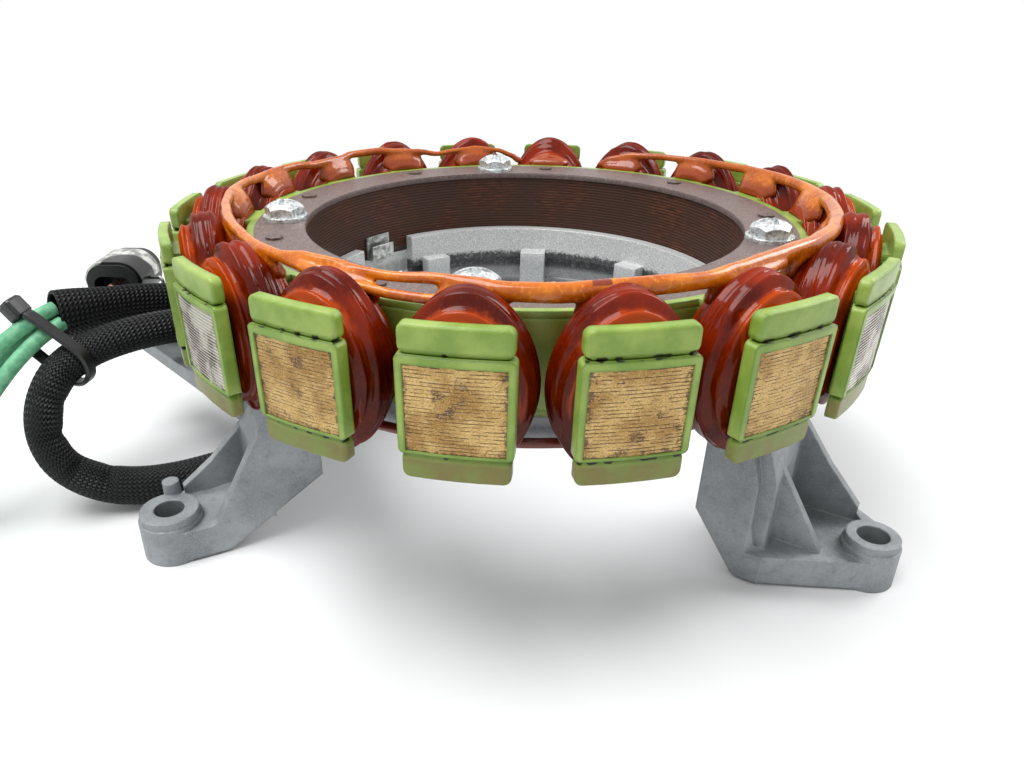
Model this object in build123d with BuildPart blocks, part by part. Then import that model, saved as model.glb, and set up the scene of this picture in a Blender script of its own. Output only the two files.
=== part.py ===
from build123d import *
from math import cos, hypot, pi, radians, sin, tan
import os

os.makedirs("parts", exist_ok=True)

# Wound stator of a flywheel generator on a cast bracket, in millimetres.
# The origin is in the mounting plane under the feet, on the bore axis, and +Z is up.
# Azimuths are degrees from +X, and pole 6 points along +X.

# Lamination stack
pole_count = 18
pole_pitch = 360 / pole_count
face_radius = 100.0
bore_radius = 63.1
yoke_radius = 77.6
neck_half = 5.2
shoe_half = 10.1
shoe_back_radius = 97.4
shoe_flare = 1.0
stack_top = 83.0
stack_height = 24.4
plate_thickness = 1.6
plate_overhang = 0.7

# Green insulation over the teeth and the yoke
coat_thickness = 0.8
frame_border = 1.5
frame_proud = 0.3
frame_depth = 1.3
frame_corner = 1.1
window_inset_top = 3.5
window_inset_bottom = 2.2

# Lips bent up and down from the end plates
lip_half = 11.1
lip_rise = 4.4
lip_thickness = 2.6
lip_corner = 1.7
lip_rounding = 0.7
lip_face_radius = 99.8

# Coils
coil_yoke_gap = 0.9
coil_shoe_gap = 0.4
coil_half = 14.3
coil_shoulder_half = 13.6
coil_end_half = 12.0
coil_crest = 8.4
coil_shoulder = 3.8
coil_nose = 4.8
coil_shoulder_length = 4.5
coil_crest_start = 7.3
coil_crest_end = 4.0
coil_flat = 1.6
coil_clearance = 0.2

# Lead ring on the coils and crossover wires under them
lead_ring_radius = 2.1
lead_ring_start = 78.0
lead_ring_sweep = 344.0
crossover_radius = 1.2
resting_gap = 0.1

# Fasteners
screw_azimuths = (-101.5, -21.0, 95.5, 183.0)
screw_circle_radius = 68.6
screw_radius = 3.0
screw_head_flats = 10.0
screw_head_height = 4.4
screw_dome = 2.6
screw_recess_width = 1.6
screw_recess_length = 6.6
screw_recess_depth = 1.4
screw_hole_radius = 3.3
washer_radius = 6.3
washer_thickness = 1.2
rivet_count = 9
rivet_circle_radius = 71.3
rivet_radius = 1.6
rivet_head_radius = 2.3
rivet_head_height = 0.6
rivet_clearance = 0.15

# Cast bracket: ring
seat_height = 7.4
seat_step = 3.2
seat_step_width = 0.7
skirt_depth = 13.6
skirt_outer_radius = 67.0
skirt_inner_radius = 61.6
register_rise = 5.2
register_height = 10.8
register_radius = 59.4
register_clearance = 0.2
slot_start = 128.0
slot_end = 150.0
lug_azimuths = (44.0, 82.0, 119.6, 205.0, 243.0, 281.0, 319.0)
lug_width = 9.0
lug_reach = 5.0
lug_height = 11.0

# Cast bracket: legs
foot_circle_radius = 111.8
foot_azimuths = (-33.2, -153.2, 86.8)
foot_hole_radius = 4.2
narrow_boss_radius = 8.2
wide_boss_radius = 7.0
boss_height = 13.6
boss_step = 2.3
boss_step_width = 0.9
boss_draft = 2.0
pad_height = 0.8
wall_thickness = 3.6
rib_thickness = 2.8
leg_root_radius = 69.3
leg_waist = 18.4
narrow_plate_height = 10.0
narrow_wall_face = 9.0
narrow_flange_face = -13.4
narrow_toe = 13.6
wide_plate_height = 9.4
wide_wall_face = -21.0
wide_rib_face = -10.4
wide_flange_face = 10.6
wide_toe = 29.8
toe_rounding = 3.0
front_radius = 87.6
front_height = 30.0
front_taper = 2.4
front_thickness = 4.0
nub_radius = 2.9
nub_height = 17.2

# Arm that carries the lead connector
arm_top = 36.5
arm_thickness = 5.0
arm_rib_height = 3.0
arm_outline = [(-62, -24), (-82.3, -31), (-140, 30.4), (-130, 40), (-58, -2)]
arm_root_outline = [(-50, -24), (-80, -24), (-80, 4), (-50, 4)]
arm_rib_outline = [(-80, -20), (-84, -18), (-131, 31), (-129, 33), (-76, -14)]
post_place = (-132.0, 30.0)
post_radius = 5.0
connector_front = 14.0
connector_length = 20.0
connector_width = 17.0
connector_height = 14.0
connector_bottom = 49.6
connector_corner = 6.0
pocket_depth = 7.0
pocket_width = 12.2
pocket_height = 8.4
pocket_corner = 3.0
pocket_drop = 1.0
cover_thickness = 0.8
cover_length = 15.0
terminal_radius = 1.2
bail_wire_radius = 0.6
bail_reach = 4.0
bail_height = 6.0
bail_setback = 7.5

# Lead exit: folded clip in the bore and rubber grommet under the skirt
clip_start = 135.5
clip_end = 145.0
clip_sheet = 0.7
clip_depth = 3.0
clip_height = 7.8
clip_lip_height = 4.9
grommet_width = 30.0
grommet_length = 16.0
grommet_height = 14.0
grommet_corner = 3.0

# Harness: sleeves, wires, tie and connectors
sleeve_long_radius = 6.5
sleeve_short_radius = 5.2
wire_radius = 2.15
sleeve_long_route = [
    (-60.0, 24.0, 38.0),
    (-72.0, 24.0, 38.0),
    (-84.0, 20.7, 41.4),
    (-95.2, 13.6, 45.6),
    (-105.6, 3.9, 47.7),
    (-114.5, -4.8, 49.2),
    (-123.0, -11.7, 48.8),
    (-130.4, -17.4, 47.0),
    (-136.1, -23.4, 43.2),
    (-138.7, -28.9, 37.5),
    (-139.6, -32.3, 31.5),
    (-139.3, -33.8, 24.8),
    (-137.0, -34.2, 18.2),
    (-131.6, -32.6, 12.0),
    (-123.3, -30.3, 7.7),
    (-112.5, -27.5, 6.5),
    (-100.0, -22.5, 6.5),
    (-89.5, -15.0, 6.5),
]
sleeve_short_route = [
    (-60.0, 39.0, 38.0),
    (-72.0, 39.0, 38.0),
    (-84.4, 36.4, 41.0),
    (-97.0, 30.2, 45.8),
    (-108.8, 20.6, 50.0),
    (-119.4, 9.9, 52.8),
    (-128.6, -0.4, 55.0),
    (-137.6, -11.8, 56.2),
]
wire_routes = [
    [
        (-138.2, -12.5, 58.8),
        (-140.6, -16.2, 58.3),
        (-144.2, -20.8, 56.1),
        (-150.4, -25.3, 51.8),
        (-158.6, -28.0, 46.0),
        (-167.2, -31.0, 38.6),
        (-173.5, -36.0, 29.2),
        (-176.4, -42.8, 19.4),
        (-174.6, -51.2, 10.6),
        (-170.6, -59.6, 5.0),
        (-167.2, -66.8, 2.4),
        (-165.0, -73.6, 2.15),
        (-165.0, -80.0, 2.15),
    ],
    [
        (-136.3, -14.0, 54.8),
        (-138.0, -17.4, 54.1),
        (-141.4, -22.2, 51.8),
        (-146.3, -27.2, 47.0),
        (-150.8, -31.4, 41.4),
        (-156.0, -35.5, 34.6),
        (-161.2, -40.6, 26.6),
        (-164.8, -46.9, 18.0),
        (-165.8, -53.4, 10.2),
        (-163.2, -60.4, 5.0),
        (-161.2, -67.2, 2.4),
        (-159.8, -73.8, 2.15),
        (-159.8, -80.0, 2.15),
    ],
    [
        (-140.0, -11.0, 54.8),
        (-143.0, -15.2, 54.0),
        (-147.6, -19.6, 50.6),
        (-153.6, -23.2, 44.0),
        (-162.2, -26.4, 36.8),
        (-171.2, -30.6, 28.4),
        (-178.2, -37.0, 19.8),
        (-181.6, -45.4, 11.6),
        (-180.6, -53.4, 5.8),
        (-176.6, -60.6, 2.8),
        (-172.2, -67.4, 2.15),
        (-170.2, -74.0, 2.15),
        (-170.2, -80.0, 2.15),
    ],
]
tie_origin = (-135.5, -21.5, 49.0)
tie_normal = (0.70, 0.60, 0.36)
tie_across = (-0.60, 0.70, 0.0)
tie_width = 4.6
tie_thickness = 1.2
tie_clearance = 0.9
tie_head_length = 5.0
tie_head_height = 6.0
sleeve_plug_length = 15.0
wire_connector_length = 18.0
wire_connector_width = 19.0
wire_connector_height = 8.0
wire_connector_socket = 5.0
wire_spacing = 5.2


def polar(radius, azimuth, z=0.0):
    return Vector(radius * cos(radians(azimuth)), radius * sin(radians(azimuth)), z)


def facing_plane(radius, azimuth, z=0.0):
    """Plane that faces outwards at an azimuth, with its own Y up."""
    return Plane(origin=polar(radius, azimuth, z), x_dir=polar(1, azimuth + 90), z_dir=polar(1, azimuth))


def upright_plane(azimuth, offset=0.0):
    """Upright plane along a radius, moved sideways by offset, that faces the other side."""
    return Plane(origin=polar(offset, azimuth + 90), x_dir=polar(1, azimuth), z_dir=polar(1, azimuth - 90))


def level_plane(azimuth, z):
    return Plane(origin=(0, 0, z), x_dir=polar(1, azimuth), z_dir=(0, 0, 1))


def pole_azimuth(number):
    return pole_pitch * (number - 6)


def toothed_plan(yoke, neck, shoe, shoe_back, face):
    """Plan of a yoke disc with its teeth."""
    outline = [
        (yoke - 4, neck),
        (shoe_back - shoe_flare, neck),
        (shoe_back, shoe),
        (face + 2, shoe),
        (face + 2, -shoe),
        (shoe_back, -shoe),
        (shoe_back - shoe_flare, -neck),
        (yoke - 4, -neck),
    ]
    with BuildSketch() as teeth:
        Circle(yoke)
        with PolarLocations(0, pole_count):
            Polygon(*outline, align=None)
        Circle(face, mode=Mode.INTERSECT)
    return teeth.sketch


def tube_along(points, radius):
    """Round tube along straight runs that are joined by tangent arcs, and its radii."""
    corners = [Vector(*point) for point in points]
    radii = []
    for before, corner, after in zip(corners, corners[1:], corners[2:]):
        arriving = corner - before
        leaving = after - corner
        turn = radians(arriving.get_angle(leaving))
        shorter = min(arriving.length, leaving.length)
        radii.append(0.45 * shorter / tan(turn / 2))
    with BuildPart() as tube:
        with BuildLine() as path:
            FilletPolyline(*corners, radius=radii)
        with BuildSketch(Plane(origin=path.line @ 0, z_dir=path.line % 0)):
            Circle(radius)
        sweep(path=path.line)
    length = path.wire().length
    volume_ratio = tube.part.volume / (pi * radius**2 * length)
    print("tube length", round(length, 1), "volume ratio", round(volume_ratio, 4))
    print("radii", [round(bend, 1) for bend in radii])
    return tube.part


stack_bottom = stack_top - stack_height
lamination_top = stack_top - plate_thickness
window_top = stack_top - window_inset_top
window_bottom = stack_bottom + window_inset_bottom
lamination_bottom = stack_bottom + plate_thickness
coat_neck = neck_half + coat_thickness
coat_shoe = shoe_half + frame_border
coat_yoke = yoke_radius + coat_thickness
coat_face = face_radius + frame_proud
frame_root = coat_face - frame_depth

core_plan = toothed_plan(yoke_radius, neck_half, shoe_half, shoe_back_radius, face_radius)
coat_plan = toothed_plan(coat_yoke, coat_neck, coat_shoe, shoe_back_radius - coat_thickness, coat_face)
tooth_plan_open = toothed_plan(yoke_radius, neck_half, shoe_half, shoe_back_radius, coat_face)

# Bands of insulation above and below each bare pole face
with BuildSketch() as band_plan:
    Circle(coat_face)
    Circle(frame_root, mode=Mode.SUBTRACT)
    add(tooth_plan_open, mode=Mode.INTERSECT)

# Lamination stack
with BuildPart() as core_stack:
    with BuildSketch(Plane.XY.offset(lamination_bottom)):
        add(core_plan)
        Circle(bore_radius, mode=Mode.SUBTRACT)
    extrude(amount=lamination_top - lamination_bottom)
    with BuildSketch(Plane.XY.offset(window_top)):
        add(band_plan.sketch)
    extrude(amount=lamination_top - window_top, mode=Mode.SUBTRACT)
    with BuildSketch(Plane.XY.offset(lamination_bottom)):
        add(band_plan.sketch)
    extrude(amount=window_bottom - lamination_bottom, mode=Mode.SUBTRACT)
    with BuildSketch(Plane.XY.offset(lamination_bottom)):
        with Locations(*[polar(screw_circle_radius, azimuth) for azimuth in screw_azimuths]):
            Circle(screw_hole_radius)
        with PolarLocations(rivet_circle_radius, rivet_count):
            Circle(rivet_radius + rivet_clearance)
    extrude(amount=stack_height, mode=Mode.SUBTRACT)
core_stack.part.label = "core_stack"
export_step(core_stack.part, "parts/core_stack.step")


def is_frame_corner(edge):
    """True for the outer side edges, at the top and the bottom, of the frame round a pole face."""
    middle = edge.center()
    level = min(abs(middle.Z - lamination_top), abs(middle.Z - lamination_bottom)) < 0.01
    outside = hypot(middle.X, middle.Y) > shoe_back_radius and edge.length > frame_border
    return level and outside and edge.geom_type == GeomType.LINE


# Insulation: sides of the teeth, outside of the yoke and a frame round each bare pole face
with BuildPart() as slot_insulation:
    with BuildSketch(Plane.XY.offset(lamination_bottom)):
        add(coat_plan)
        add(tooth_plan_open, mode=Mode.SUBTRACT)
    extrude(amount=lamination_top - lamination_bottom)
    with BuildSketch(Plane.XY.offset(window_top)):
        add(band_plan.sketch)
    extrude(amount=lamination_top - window_top)
    with BuildSketch(Plane.XY.offset(lamination_bottom)):
        add(band_plan.sketch)
    extrude(amount=window_bottom - lamination_bottom)
    fillet(slot_insulation.edges().filter_by(is_frame_corner), frame_corner)
slot_insulation.part.label = "slot_insulation"
export_step(slot_insulation.part, "parts/slot_insulation.step")


def is_lip_front(face):
    """True for the curved front of a lip."""
    middle = face.center()
    return hypot(middle.X, middle.Y) > lip_face_radius - 0.5


def row_of_lips(base, height):
    """Lips of all the poles, bent to the round of the pole faces, with rounded edges."""
    lip_root = lip_face_radius - lip_thickness
    with BuildPart() as lips:
        for number in range(1, pole_count + 1):
            with BuildSketch(facing_plane(lip_root - 1, pole_azimuth(number), base + height / 2)):
                RectangleRounded(2 * lip_half, height, lip_corner)
            extrude(amount=lip_thickness + 2)
        with BuildSketch(Plane.XY.offset(base)):
            Circle(lip_face_radius)
            Circle(lip_root, mode=Mode.SUBTRACT)
        extrude(amount=height, mode=Mode.INTERSECT)
        outside = lips.faces().filter_by(is_lip_front)
        fillet(outside.edges(), lip_rounding)
    return lips.part


def end_plate(bottom, inner_radius, lip_base, lip_height):
    """Stamped end plate, with a lip bent off the end of each tooth."""
    tooth_length = lip_face_radius - lip_thickness / 2 - yoke_radius + 4
    with BuildPart() as plate:
        with BuildSketch(Plane.XY.offset(bottom)):
            Circle(coat_yoke)
            with PolarLocations(0, pole_count):
                with Locations((yoke_radius - 4 + tooth_length / 2, 0)):
                    Rectangle(tooth_length, 2 * coat_neck)
            Circle(inner_radius, mode=Mode.SUBTRACT)
            with Locations(*[polar(screw_circle_radius, azimuth) for azimuth in screw_azimuths]):
                Circle(screw_hole_radius, mode=Mode.SUBTRACT)
            with PolarLocations(rivet_circle_radius, rivet_count):
                Circle(rivet_radius + rivet_clearance, mode=Mode.SUBTRACT)
        extrude(amount=plate_thickness)
        add(row_of_lips(lip_base, lip_height))
    return plate.part


lip_height = lip_rise + plate_thickness
top_end_plate = end_plate(lamination_top, bore_radius - plate_overhang, lamination_top, lip_height)
top_end_plate.label = "top_end_plate"
export_step(top_end_plate, "parts/top_end_plate.step")

bottom_end_plate = end_plate(stack_bottom, bore_radius, stack_bottom - lip_rise, lip_height)
bottom_end_plate.label = "bottom_end_plate"
export_step(bottom_end_plate, "parts/bottom_end_plate.step")

# Coils: barrel-shaped windings round the tooth necks, with a shoulder for the lead ring
coil_inner_radius = coat_yoke + coil_yoke_gap
coil_outer_radius = shoe_back_radius - shoe_flare - coat_thickness - coil_shoe_gap
coil_shoulder_radius = coil_inner_radius + coil_shoulder_length
coil_sections = (
    (coil_inner_radius, coil_end_half, coil_shoulder),
    (coil_shoulder_radius, coil_shoulder_half, coil_shoulder),
    (coil_inner_radius + coil_crest_start, coil_half, coil_crest),
    (coil_outer_radius - coil_crest_end, coil_half, coil_crest),
    (coil_outer_radius, coil_end_half, coil_nose),
)
stack_middle = (stack_top + stack_bottom) / 2
opening_half = coat_neck + coil_clearance
opening_height = stack_height + 2 * coil_clearance

for number in range(1, pole_count + 1):
    azimuth = pole_azimuth(number)
    with BuildPart() as coil:
        for radius, half_width, rise in coil_sections:
            with BuildSketch(facing_plane(radius, azimuth, stack_middle)):
                RectangleRounded(2 * half_width, stack_height + 2 * rise, half_width - coil_flat)
        loft(ruled=True)
        with BuildSketch(facing_plane(coil_inner_radius - 1, azimuth, stack_middle)):
            Rectangle(2 * opening_half, opening_height)
        extrude(amount=coil_outer_radius - coil_inner_radius + 2, mode=Mode.SUBTRACT)
    coil_name = f"coil_{number:02d}"
    coil.part.label = coil_name
    export_step(coil.part, f"parts/{coil_name}.step")

# Varnished lead ring, in the shoulder of the coils
lead_ring_z = stack_top + coil_shoulder + lead_ring_radius + resting_gap
lead_ring_centre = coil_shoulder_radius - lead_ring_radius - 0.2
with BuildPart() as lead_ring:
    with BuildSketch(upright_plane(lead_ring_start)):
        with Locations((lead_ring_centre, lead_ring_z)):
            Circle(lead_ring_radius)
    revolve(axis=Axis.Z, revolution_arc=lead_ring_sweep)
lead_ring.part.label = "lead_ring"
export_step(lead_ring.part, "parts/lead_ring.step")

# Crossover wires under the coils
crossover_z = stack_bottom - coil_shoulder - crossover_radius - resting_gap
crossover_centre = lead_ring_centre - 0.4
with BuildPart() as crossover_wires:
    with BuildSketch(Plane.XZ):
        with Locations((crossover_centre, crossover_z)):
            Circle(crossover_radius)
    revolve(axis=Axis.Z)
crossover_wires.part.label = "crossover_wires"
export_step(crossover_wires.part, "parts/crossover_wires.step")

# Rivets through the stack
with BuildPart() as core_rivets:
    with BuildSketch(Plane.XY.offset(stack_bottom)):
        with PolarLocations(rivet_circle_radius, rivet_count):
            Circle(rivet_radius)
    extrude(amount=stack_height)
    with BuildSketch(Plane.XY.offset(stack_top)):
        with PolarLocations(rivet_circle_radius, rivet_count):
            Circle(rivet_head_radius)
    extrude(amount=rivet_head_height)
core_rivets.part.label = "core_rivets"
export_step(core_rivets.part, "parts/core_rivets.step")

# Captive washers and the screws that hold the stack to the bracket
seat_bottom = stack_bottom - seat_height
screw_places = [polar(screw_circle_radius, azimuth) for azimuth in screw_azimuths]
with BuildPart() as screw_washers:
    with BuildSketch(Plane.XY.offset(stack_top)):
        with Locations(*screw_places):
            Circle(washer_radius)
            Circle(screw_hole_radius, mode=Mode.SUBTRACT)
    extrude(amount=washer_thickness)
screw_washers.part.label = "screw_washers"
export_step(screw_washers.part, "parts/screw_washers.step")

with BuildPart() as screw:
    with BuildSketch():
        RegularPolygon(screw_head_flats / 2, 6, major_radius=False)
    extrude(amount=screw_head_height)
    with BuildSketch(Plane.XZ):
        with BuildLine():
            dome = ThreePointArc(
                (0, screw_head_height),
                (screw_head_flats / 3, screw_head_height - screw_dome / 3),
                (screw_head_flats * 0.6, screw_head_height - screw_dome),
            )
            Polyline(dome @ 1, (screw_head_flats * 0.6, 0), (0, 0), dome @ 0)
        make_face()
    revolve(axis=Axis.Z, mode=Mode.INTERSECT)
    with BuildSketch(Plane.XY.offset(screw_head_height)):
        Rectangle(screw_recess_length, screw_recess_width)
        Rectangle(screw_recess_width, screw_recess_length)
    extrude(amount=-screw_recess_depth, mode=Mode.SUBTRACT)
    with BuildSketch():
        Circle(screw_radius)
    extrude(amount=-(stack_top + washer_thickness - seat_bottom))
with BuildPart() as core_screws:
    with Locations(*[place + Vector(0, 0, stack_top + washer_thickness) for place in screw_places]):
        add(screw.part)
core_screws.part.label = "core_screws"
export_step(core_screws.part, "parts/core_screws.step")

# Cast bracket
skirt_bottom = stack_bottom - skirt_depth
register_top = stack_bottom + register_rise
register_bottom = register_top - register_height
register_outer = bore_radius - register_clearance


def upright_web(azimuth, offset, thickness, outline, rounded=None):
    """Web of the casting: an outline of radius and height, thickened towards greater offset."""
    with BuildSketch(upright_plane(azimuth, offset)) as side_view:
        Polygon(*outline, align=None)
        if rounded is not None:
            fillet(side_view.vertices().sort_by_distance(Vector(*rounded))[0], toe_rounding)
    extrude(side_view.sketch, amount=-thickness)


def level_block(azimuth, bottom, top, outline, mode=Mode.ADD):
    """Block of the casting with a plan of radius and offset."""
    with BuildSketch(level_plane(azimuth, bottom)) as plan:
        Polygon(*outline, align=None)
    extrude(plan.sketch, amount=top - bottom, mode=mode)


def foot_disc(azimuth, bottom, height, radius):
    with BuildSketch(level_plane(azimuth, bottom)) as disc:
        with Locations((foot_circle_radius, 0)):
            Circle(radius)
    extrude(disc.sketch, amount=height, taper=boss_draft)


def web_outline(upper_edge, toe):
    """Side view of a web from the seat ring to the foot, over the slanted underside of the leg."""
    return [
        (leg_root_radius, seat_bottom),
        (coat_yoke - 1.0, seat_bottom),
        *upper_edge,
        (upper_edge[-1][0], pad_height),
        (toe, pad_height),
        (leg_root_radius, leg_waist),
    ]


def leg_front(azimuth, near, far, plate_height):
    """Wall across the leg, at the back of its pocket."""
    lower = front_radius + 0.6
    outline = [
        (leg_root_radius + 4, seat_bottom),
        (coat_yoke - 1.0, seat_bottom),
        (front_radius - front_taper, front_height + 8),
        (front_radius, front_height),
        (lower, plate_height),
        (lower - front_thickness, plate_height - 2),
        (front_radius - front_thickness, front_height),
        (front_radius - front_taper - front_thickness, front_height + 7),
        (leg_root_radius + 4, seat_bottom - 4),
    ]
    upright_web(azimuth, near, far - near, outline)


def narrow_leg(azimuth):
    """Leg with a smooth wall on one side, a thin flange on the other and a pocket between."""
    toe = foot_circle_radius - narrow_toe
    plate_end = foot_circle_radius - 6
    outer_flange_face = narrow_flange_face + rib_thickness
    wall = [
        (front_radius - 4.4, front_height + 9.8),
        (plate_end - 5.2, narrow_plate_height),
        (plate_end, narrow_plate_height),
    ]
    wall_outline = web_outline(wall, toe)
    upright_web(azimuth, narrow_wall_face - wall_thickness, wall_thickness, wall_outline, wall[1])
    flange = [
        (front_radius - 3, front_height + 2),
        (plate_end - 8.6, narrow_plate_height + 9.6),
        (plate_end + 0.6, narrow_plate_height + 2.8),
    ]
    upright_web(azimuth, narrow_flange_face, rib_thickness, web_outline(flange, toe))
    leg_front(azimuth, outer_flange_face, narrow_wall_face, narrow_plate_height)
    floor = [
        (front_radius - 3, narrow_plate_height + 2),
        (toe, narrow_plate_height),
        (plate_end, narrow_plate_height),
        (plate_end, pad_height),
        (toe, pad_height),
        (front_radius - 3, pad_height + 8),
    ]
    upright_web(azimuth, narrow_flange_face, narrow_wall_face - narrow_flange_face, floor)
    plate = [
        (plate_end - 1, narrow_flange_face),
        (plate_end + 0.8, narrow_flange_face),
        (foot_circle_radius + 3, -narrow_boss_radius),
        (foot_circle_radius + 3, narrow_boss_radius),
        (foot_circle_radius - 3, narrow_wall_face),
        (plate_end - 1, narrow_wall_face),
    ]
    level_block(azimuth, pad_height, narrow_plate_height, plate)
    with BuildSketch(level_plane(azimuth, pad_height)) as nub_plan:
        with Locations((foot_circle_radius - 2.1, -narrow_boss_radius - 0.5)):
            Circle(nub_radius)
    extrude(nub_plan.sketch, amount=nub_height - pad_height, taper=boss_draft)
    foot_disc(azimuth, 0, boss_height - boss_step, narrow_boss_radius + boss_step_width)
    foot_disc(azimuth, boss_height - boss_step, boss_step, narrow_boss_radius)


def wide_leg(azimuth):
    """Leg with a buttress beside the pocket: side wall, middle rib and outer flange."""
    toe = foot_circle_radius - wide_toe
    plate_end = foot_circle_radius - 5.8
    rib_end = foot_circle_radius - 10
    outer_flange_face = wide_flange_face + rib_thickness
    wall = [
        (front_radius - 6, front_height + 8),
        (front_radius - 3.6, front_height),
        (front_radius - 3.2, wide_plate_height + 8),
        (front_radius - 2, wide_plate_height + 1.6),
        (front_radius + 1.2, wide_plate_height),
    ]
    wall_outline = web_outline(wall, toe)
    upright_web(azimuth, wide_wall_face, wall_thickness, wall_outline, (toe, pad_height))
    leg_front(azimuth, wide_wall_face + wall_thickness, outer_flange_face, wide_plate_height)
    corner = [
        (front_radius - 3.6, wide_wall_face),
        (front_radius + 2, wide_wall_face),
        (front_radius + 2, wide_wall_face + wall_thickness + 2),
    ]
    level_block(azimuth, wide_plate_height, front_height + 10, corner, Mode.SUBTRACT)
    rib = [
        (front_radius - 2, front_height + 6),
        (front_radius - 0.8, front_height + 2),
        (rib_end, wide_plate_height - 1),
        (front_radius - 2, wide_plate_height - 1),
    ]
    upright_web(azimuth, wide_rib_face, rib_thickness, rib)
    flange = [
        (front_radius - 0.6, front_height + 6.6),
        (plate_end - 9.9, wide_plate_height + 15.4),
        (plate_end, wide_plate_height + 4.6),
    ]
    upright_web(azimuth, wide_flange_face, rib_thickness, web_outline(flange, toe + 6))
    plate = [
        (toe + 1, wide_wall_face),
        (front_radius + 0.8, wide_wall_face),
        (foot_circle_radius + 3.2, -wide_boss_radius + 0.4),
        (foot_circle_radius + 3.2, wide_boss_radius),
        (plate_end, outer_flange_face),
        (toe + 1, outer_flange_face),
    ]
    level_block(azimuth, pad_height, wide_plate_height, plate)
    border = [
        (plate_end - 1, outer_flange_face - 1),
        (plate_end, outer_flange_face),
        (foot_circle_radius + 2, wide_boss_radius + 0.2),
        (foot_circle_radius - 3, wide_boss_radius - 1),
    ]
    level_block(azimuth, pad_height, boss_height - 1.6, border)
    foot_disc(azimuth, 0, boss_height - boss_step, wide_boss_radius + boss_step_width)
    foot_disc(azimuth, boss_height - boss_step, boss_step, wide_boss_radius)


with BuildPart() as mounting_bracket:
    ring_section = [
        (register_radius, register_top),
        (register_outer, register_top),
        (register_outer, stack_bottom),
        (coat_yoke, stack_bottom),
        (coat_yoke, stack_bottom - seat_step),
        (coat_yoke - seat_step_width, stack_bottom - seat_step),
        (coat_yoke - seat_step_width, seat_bottom),
        (skirt_outer_radius, seat_bottom),
        (skirt_outer_radius, skirt_bottom),
        (skirt_inner_radius, skirt_bottom),
        (skirt_inner_radius, register_bottom),
        (register_radius, register_bottom),
    ]
    with BuildSketch(Plane.XZ):
        Polygon(*ring_section, align=None)
    revolve(axis=Axis.Z)
    # Slot in the register wall and the skirt, where the leads leave the bore
    slot_middle = (slot_start + slot_end) / 2
    slot_half = radians(slot_end - slot_start) / 2
    slot_reach = skirt_outer_radius + 1
    slot_plan = [
        (0, 0),
        (slot_reach, slot_reach * tan(slot_half)),
        (slot_reach, -slot_reach * tan(slot_half)),
    ]
    with BuildSketch(level_plane(slot_middle, skirt_bottom - 1)):
        Polygon(*slot_plan, align=None)
    extrude(amount=seat_bottom - skirt_bottom + 1, mode=Mode.SUBTRACT)
    with BuildSketch(level_plane(slot_middle, seat_bottom)):
        Polygon(*slot_plan, align=None)
        Circle(register_outer + 0.2, mode=Mode.INTERSECT)
    extrude(amount=register_top - seat_bottom + 1, mode=Mode.SUBTRACT)
    # Lugs inside the skirt
    for azimuth in lug_azimuths:
        with BuildSketch(level_plane(azimuth, skirt_bottom)):
            with Locations((register_radius - lug_reach / 2 + 2, 0)):
                Rectangle(lug_reach + 4, lug_width)
        extrude(amount=lug_height)
    # Legs
    wide_leg(foot_azimuths[0])
    narrow_leg(foot_azimuths[1])
    narrow_leg(foot_azimuths[2])
    # Arm under the harness, with a rib along it and a post for the connector
    with BuildSketch(Plane.XY.offset(arm_top - arm_thickness)):
        Polygon(*arm_outline, align=None)
        Circle(skirt_inner_radius, mode=Mode.SUBTRACT)
    extrude(amount=arm_thickness)
    with BuildSketch(Plane.XY.offset(arm_top - arm_thickness)):
        Polygon(*arm_root_outline, align=None)
        Circle(coat_yoke - seat_step_width, mode=Mode.INTERSECT)
        Circle(skirt_inner_radius, mode=Mode.SUBTRACT)
    extrude(amount=seat_bottom - arm_top + arm_thickness)
    with BuildSketch(Plane.XY.offset(arm_top)):
        Polygon(*arm_rib_outline, align=None)
    extrude(amount=arm_rib_height)
    with BuildSketch(Plane.XY.offset(arm_top)):
        with Locations(post_place):
            Circle(post_radius)
    extrude(amount=connector_bottom - arm_top)
    # Foot bolt holes and the holes of the core screws
    for azimuth in foot_azimuths:
        with BuildSketch(level_plane(azimuth, 0)):
            with Locations((foot_circle_radius, 0)):
                Circle(foot_hole_radius)
        extrude(amount=boss_height, mode=Mode.SUBTRACT)
    with BuildSketch(Plane.XY.offset(seat_bottom)):
        with Locations(*screw_places):
            Circle(screw_hole_radius)
    extrude(amount=seat_height, mode=Mode.SUBTRACT)
mounting_bracket.part.label = "mounting_bracket"
export_step(mounting_bracket.part, "parts/mounting_bracket.step")

# Clip folded round the edge of the lead slot
with BuildPart() as lead_clip:
    clip_outer = bore_radius - register_clearance
    clip_section = [
        (clip_outer, stack_bottom + clip_height),
        (clip_outer, stack_bottom),
        (clip_outer - clip_depth, stack_bottom),
        (clip_outer - clip_depth, stack_bottom + clip_lip_height),
        (clip_outer - clip_depth + clip_sheet, stack_bottom + clip_lip_height),
        (clip_outer - clip_depth + clip_sheet, stack_bottom + clip_sheet),
        (clip_outer - clip_sheet, stack_bottom + clip_sheet),
        (clip_outer - clip_sheet, stack_bottom + clip_height),
    ]
    with BuildSketch(upright_plane(clip_start)):
        Polygon(*clip_section, align=None)
    revolve(axis=Axis.Z, revolution_arc=clip_end - clip_start)
lead_clip.part.label = "lead_clip"
export_step(lead_clip.part, "parts/lead_clip.step")

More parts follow.
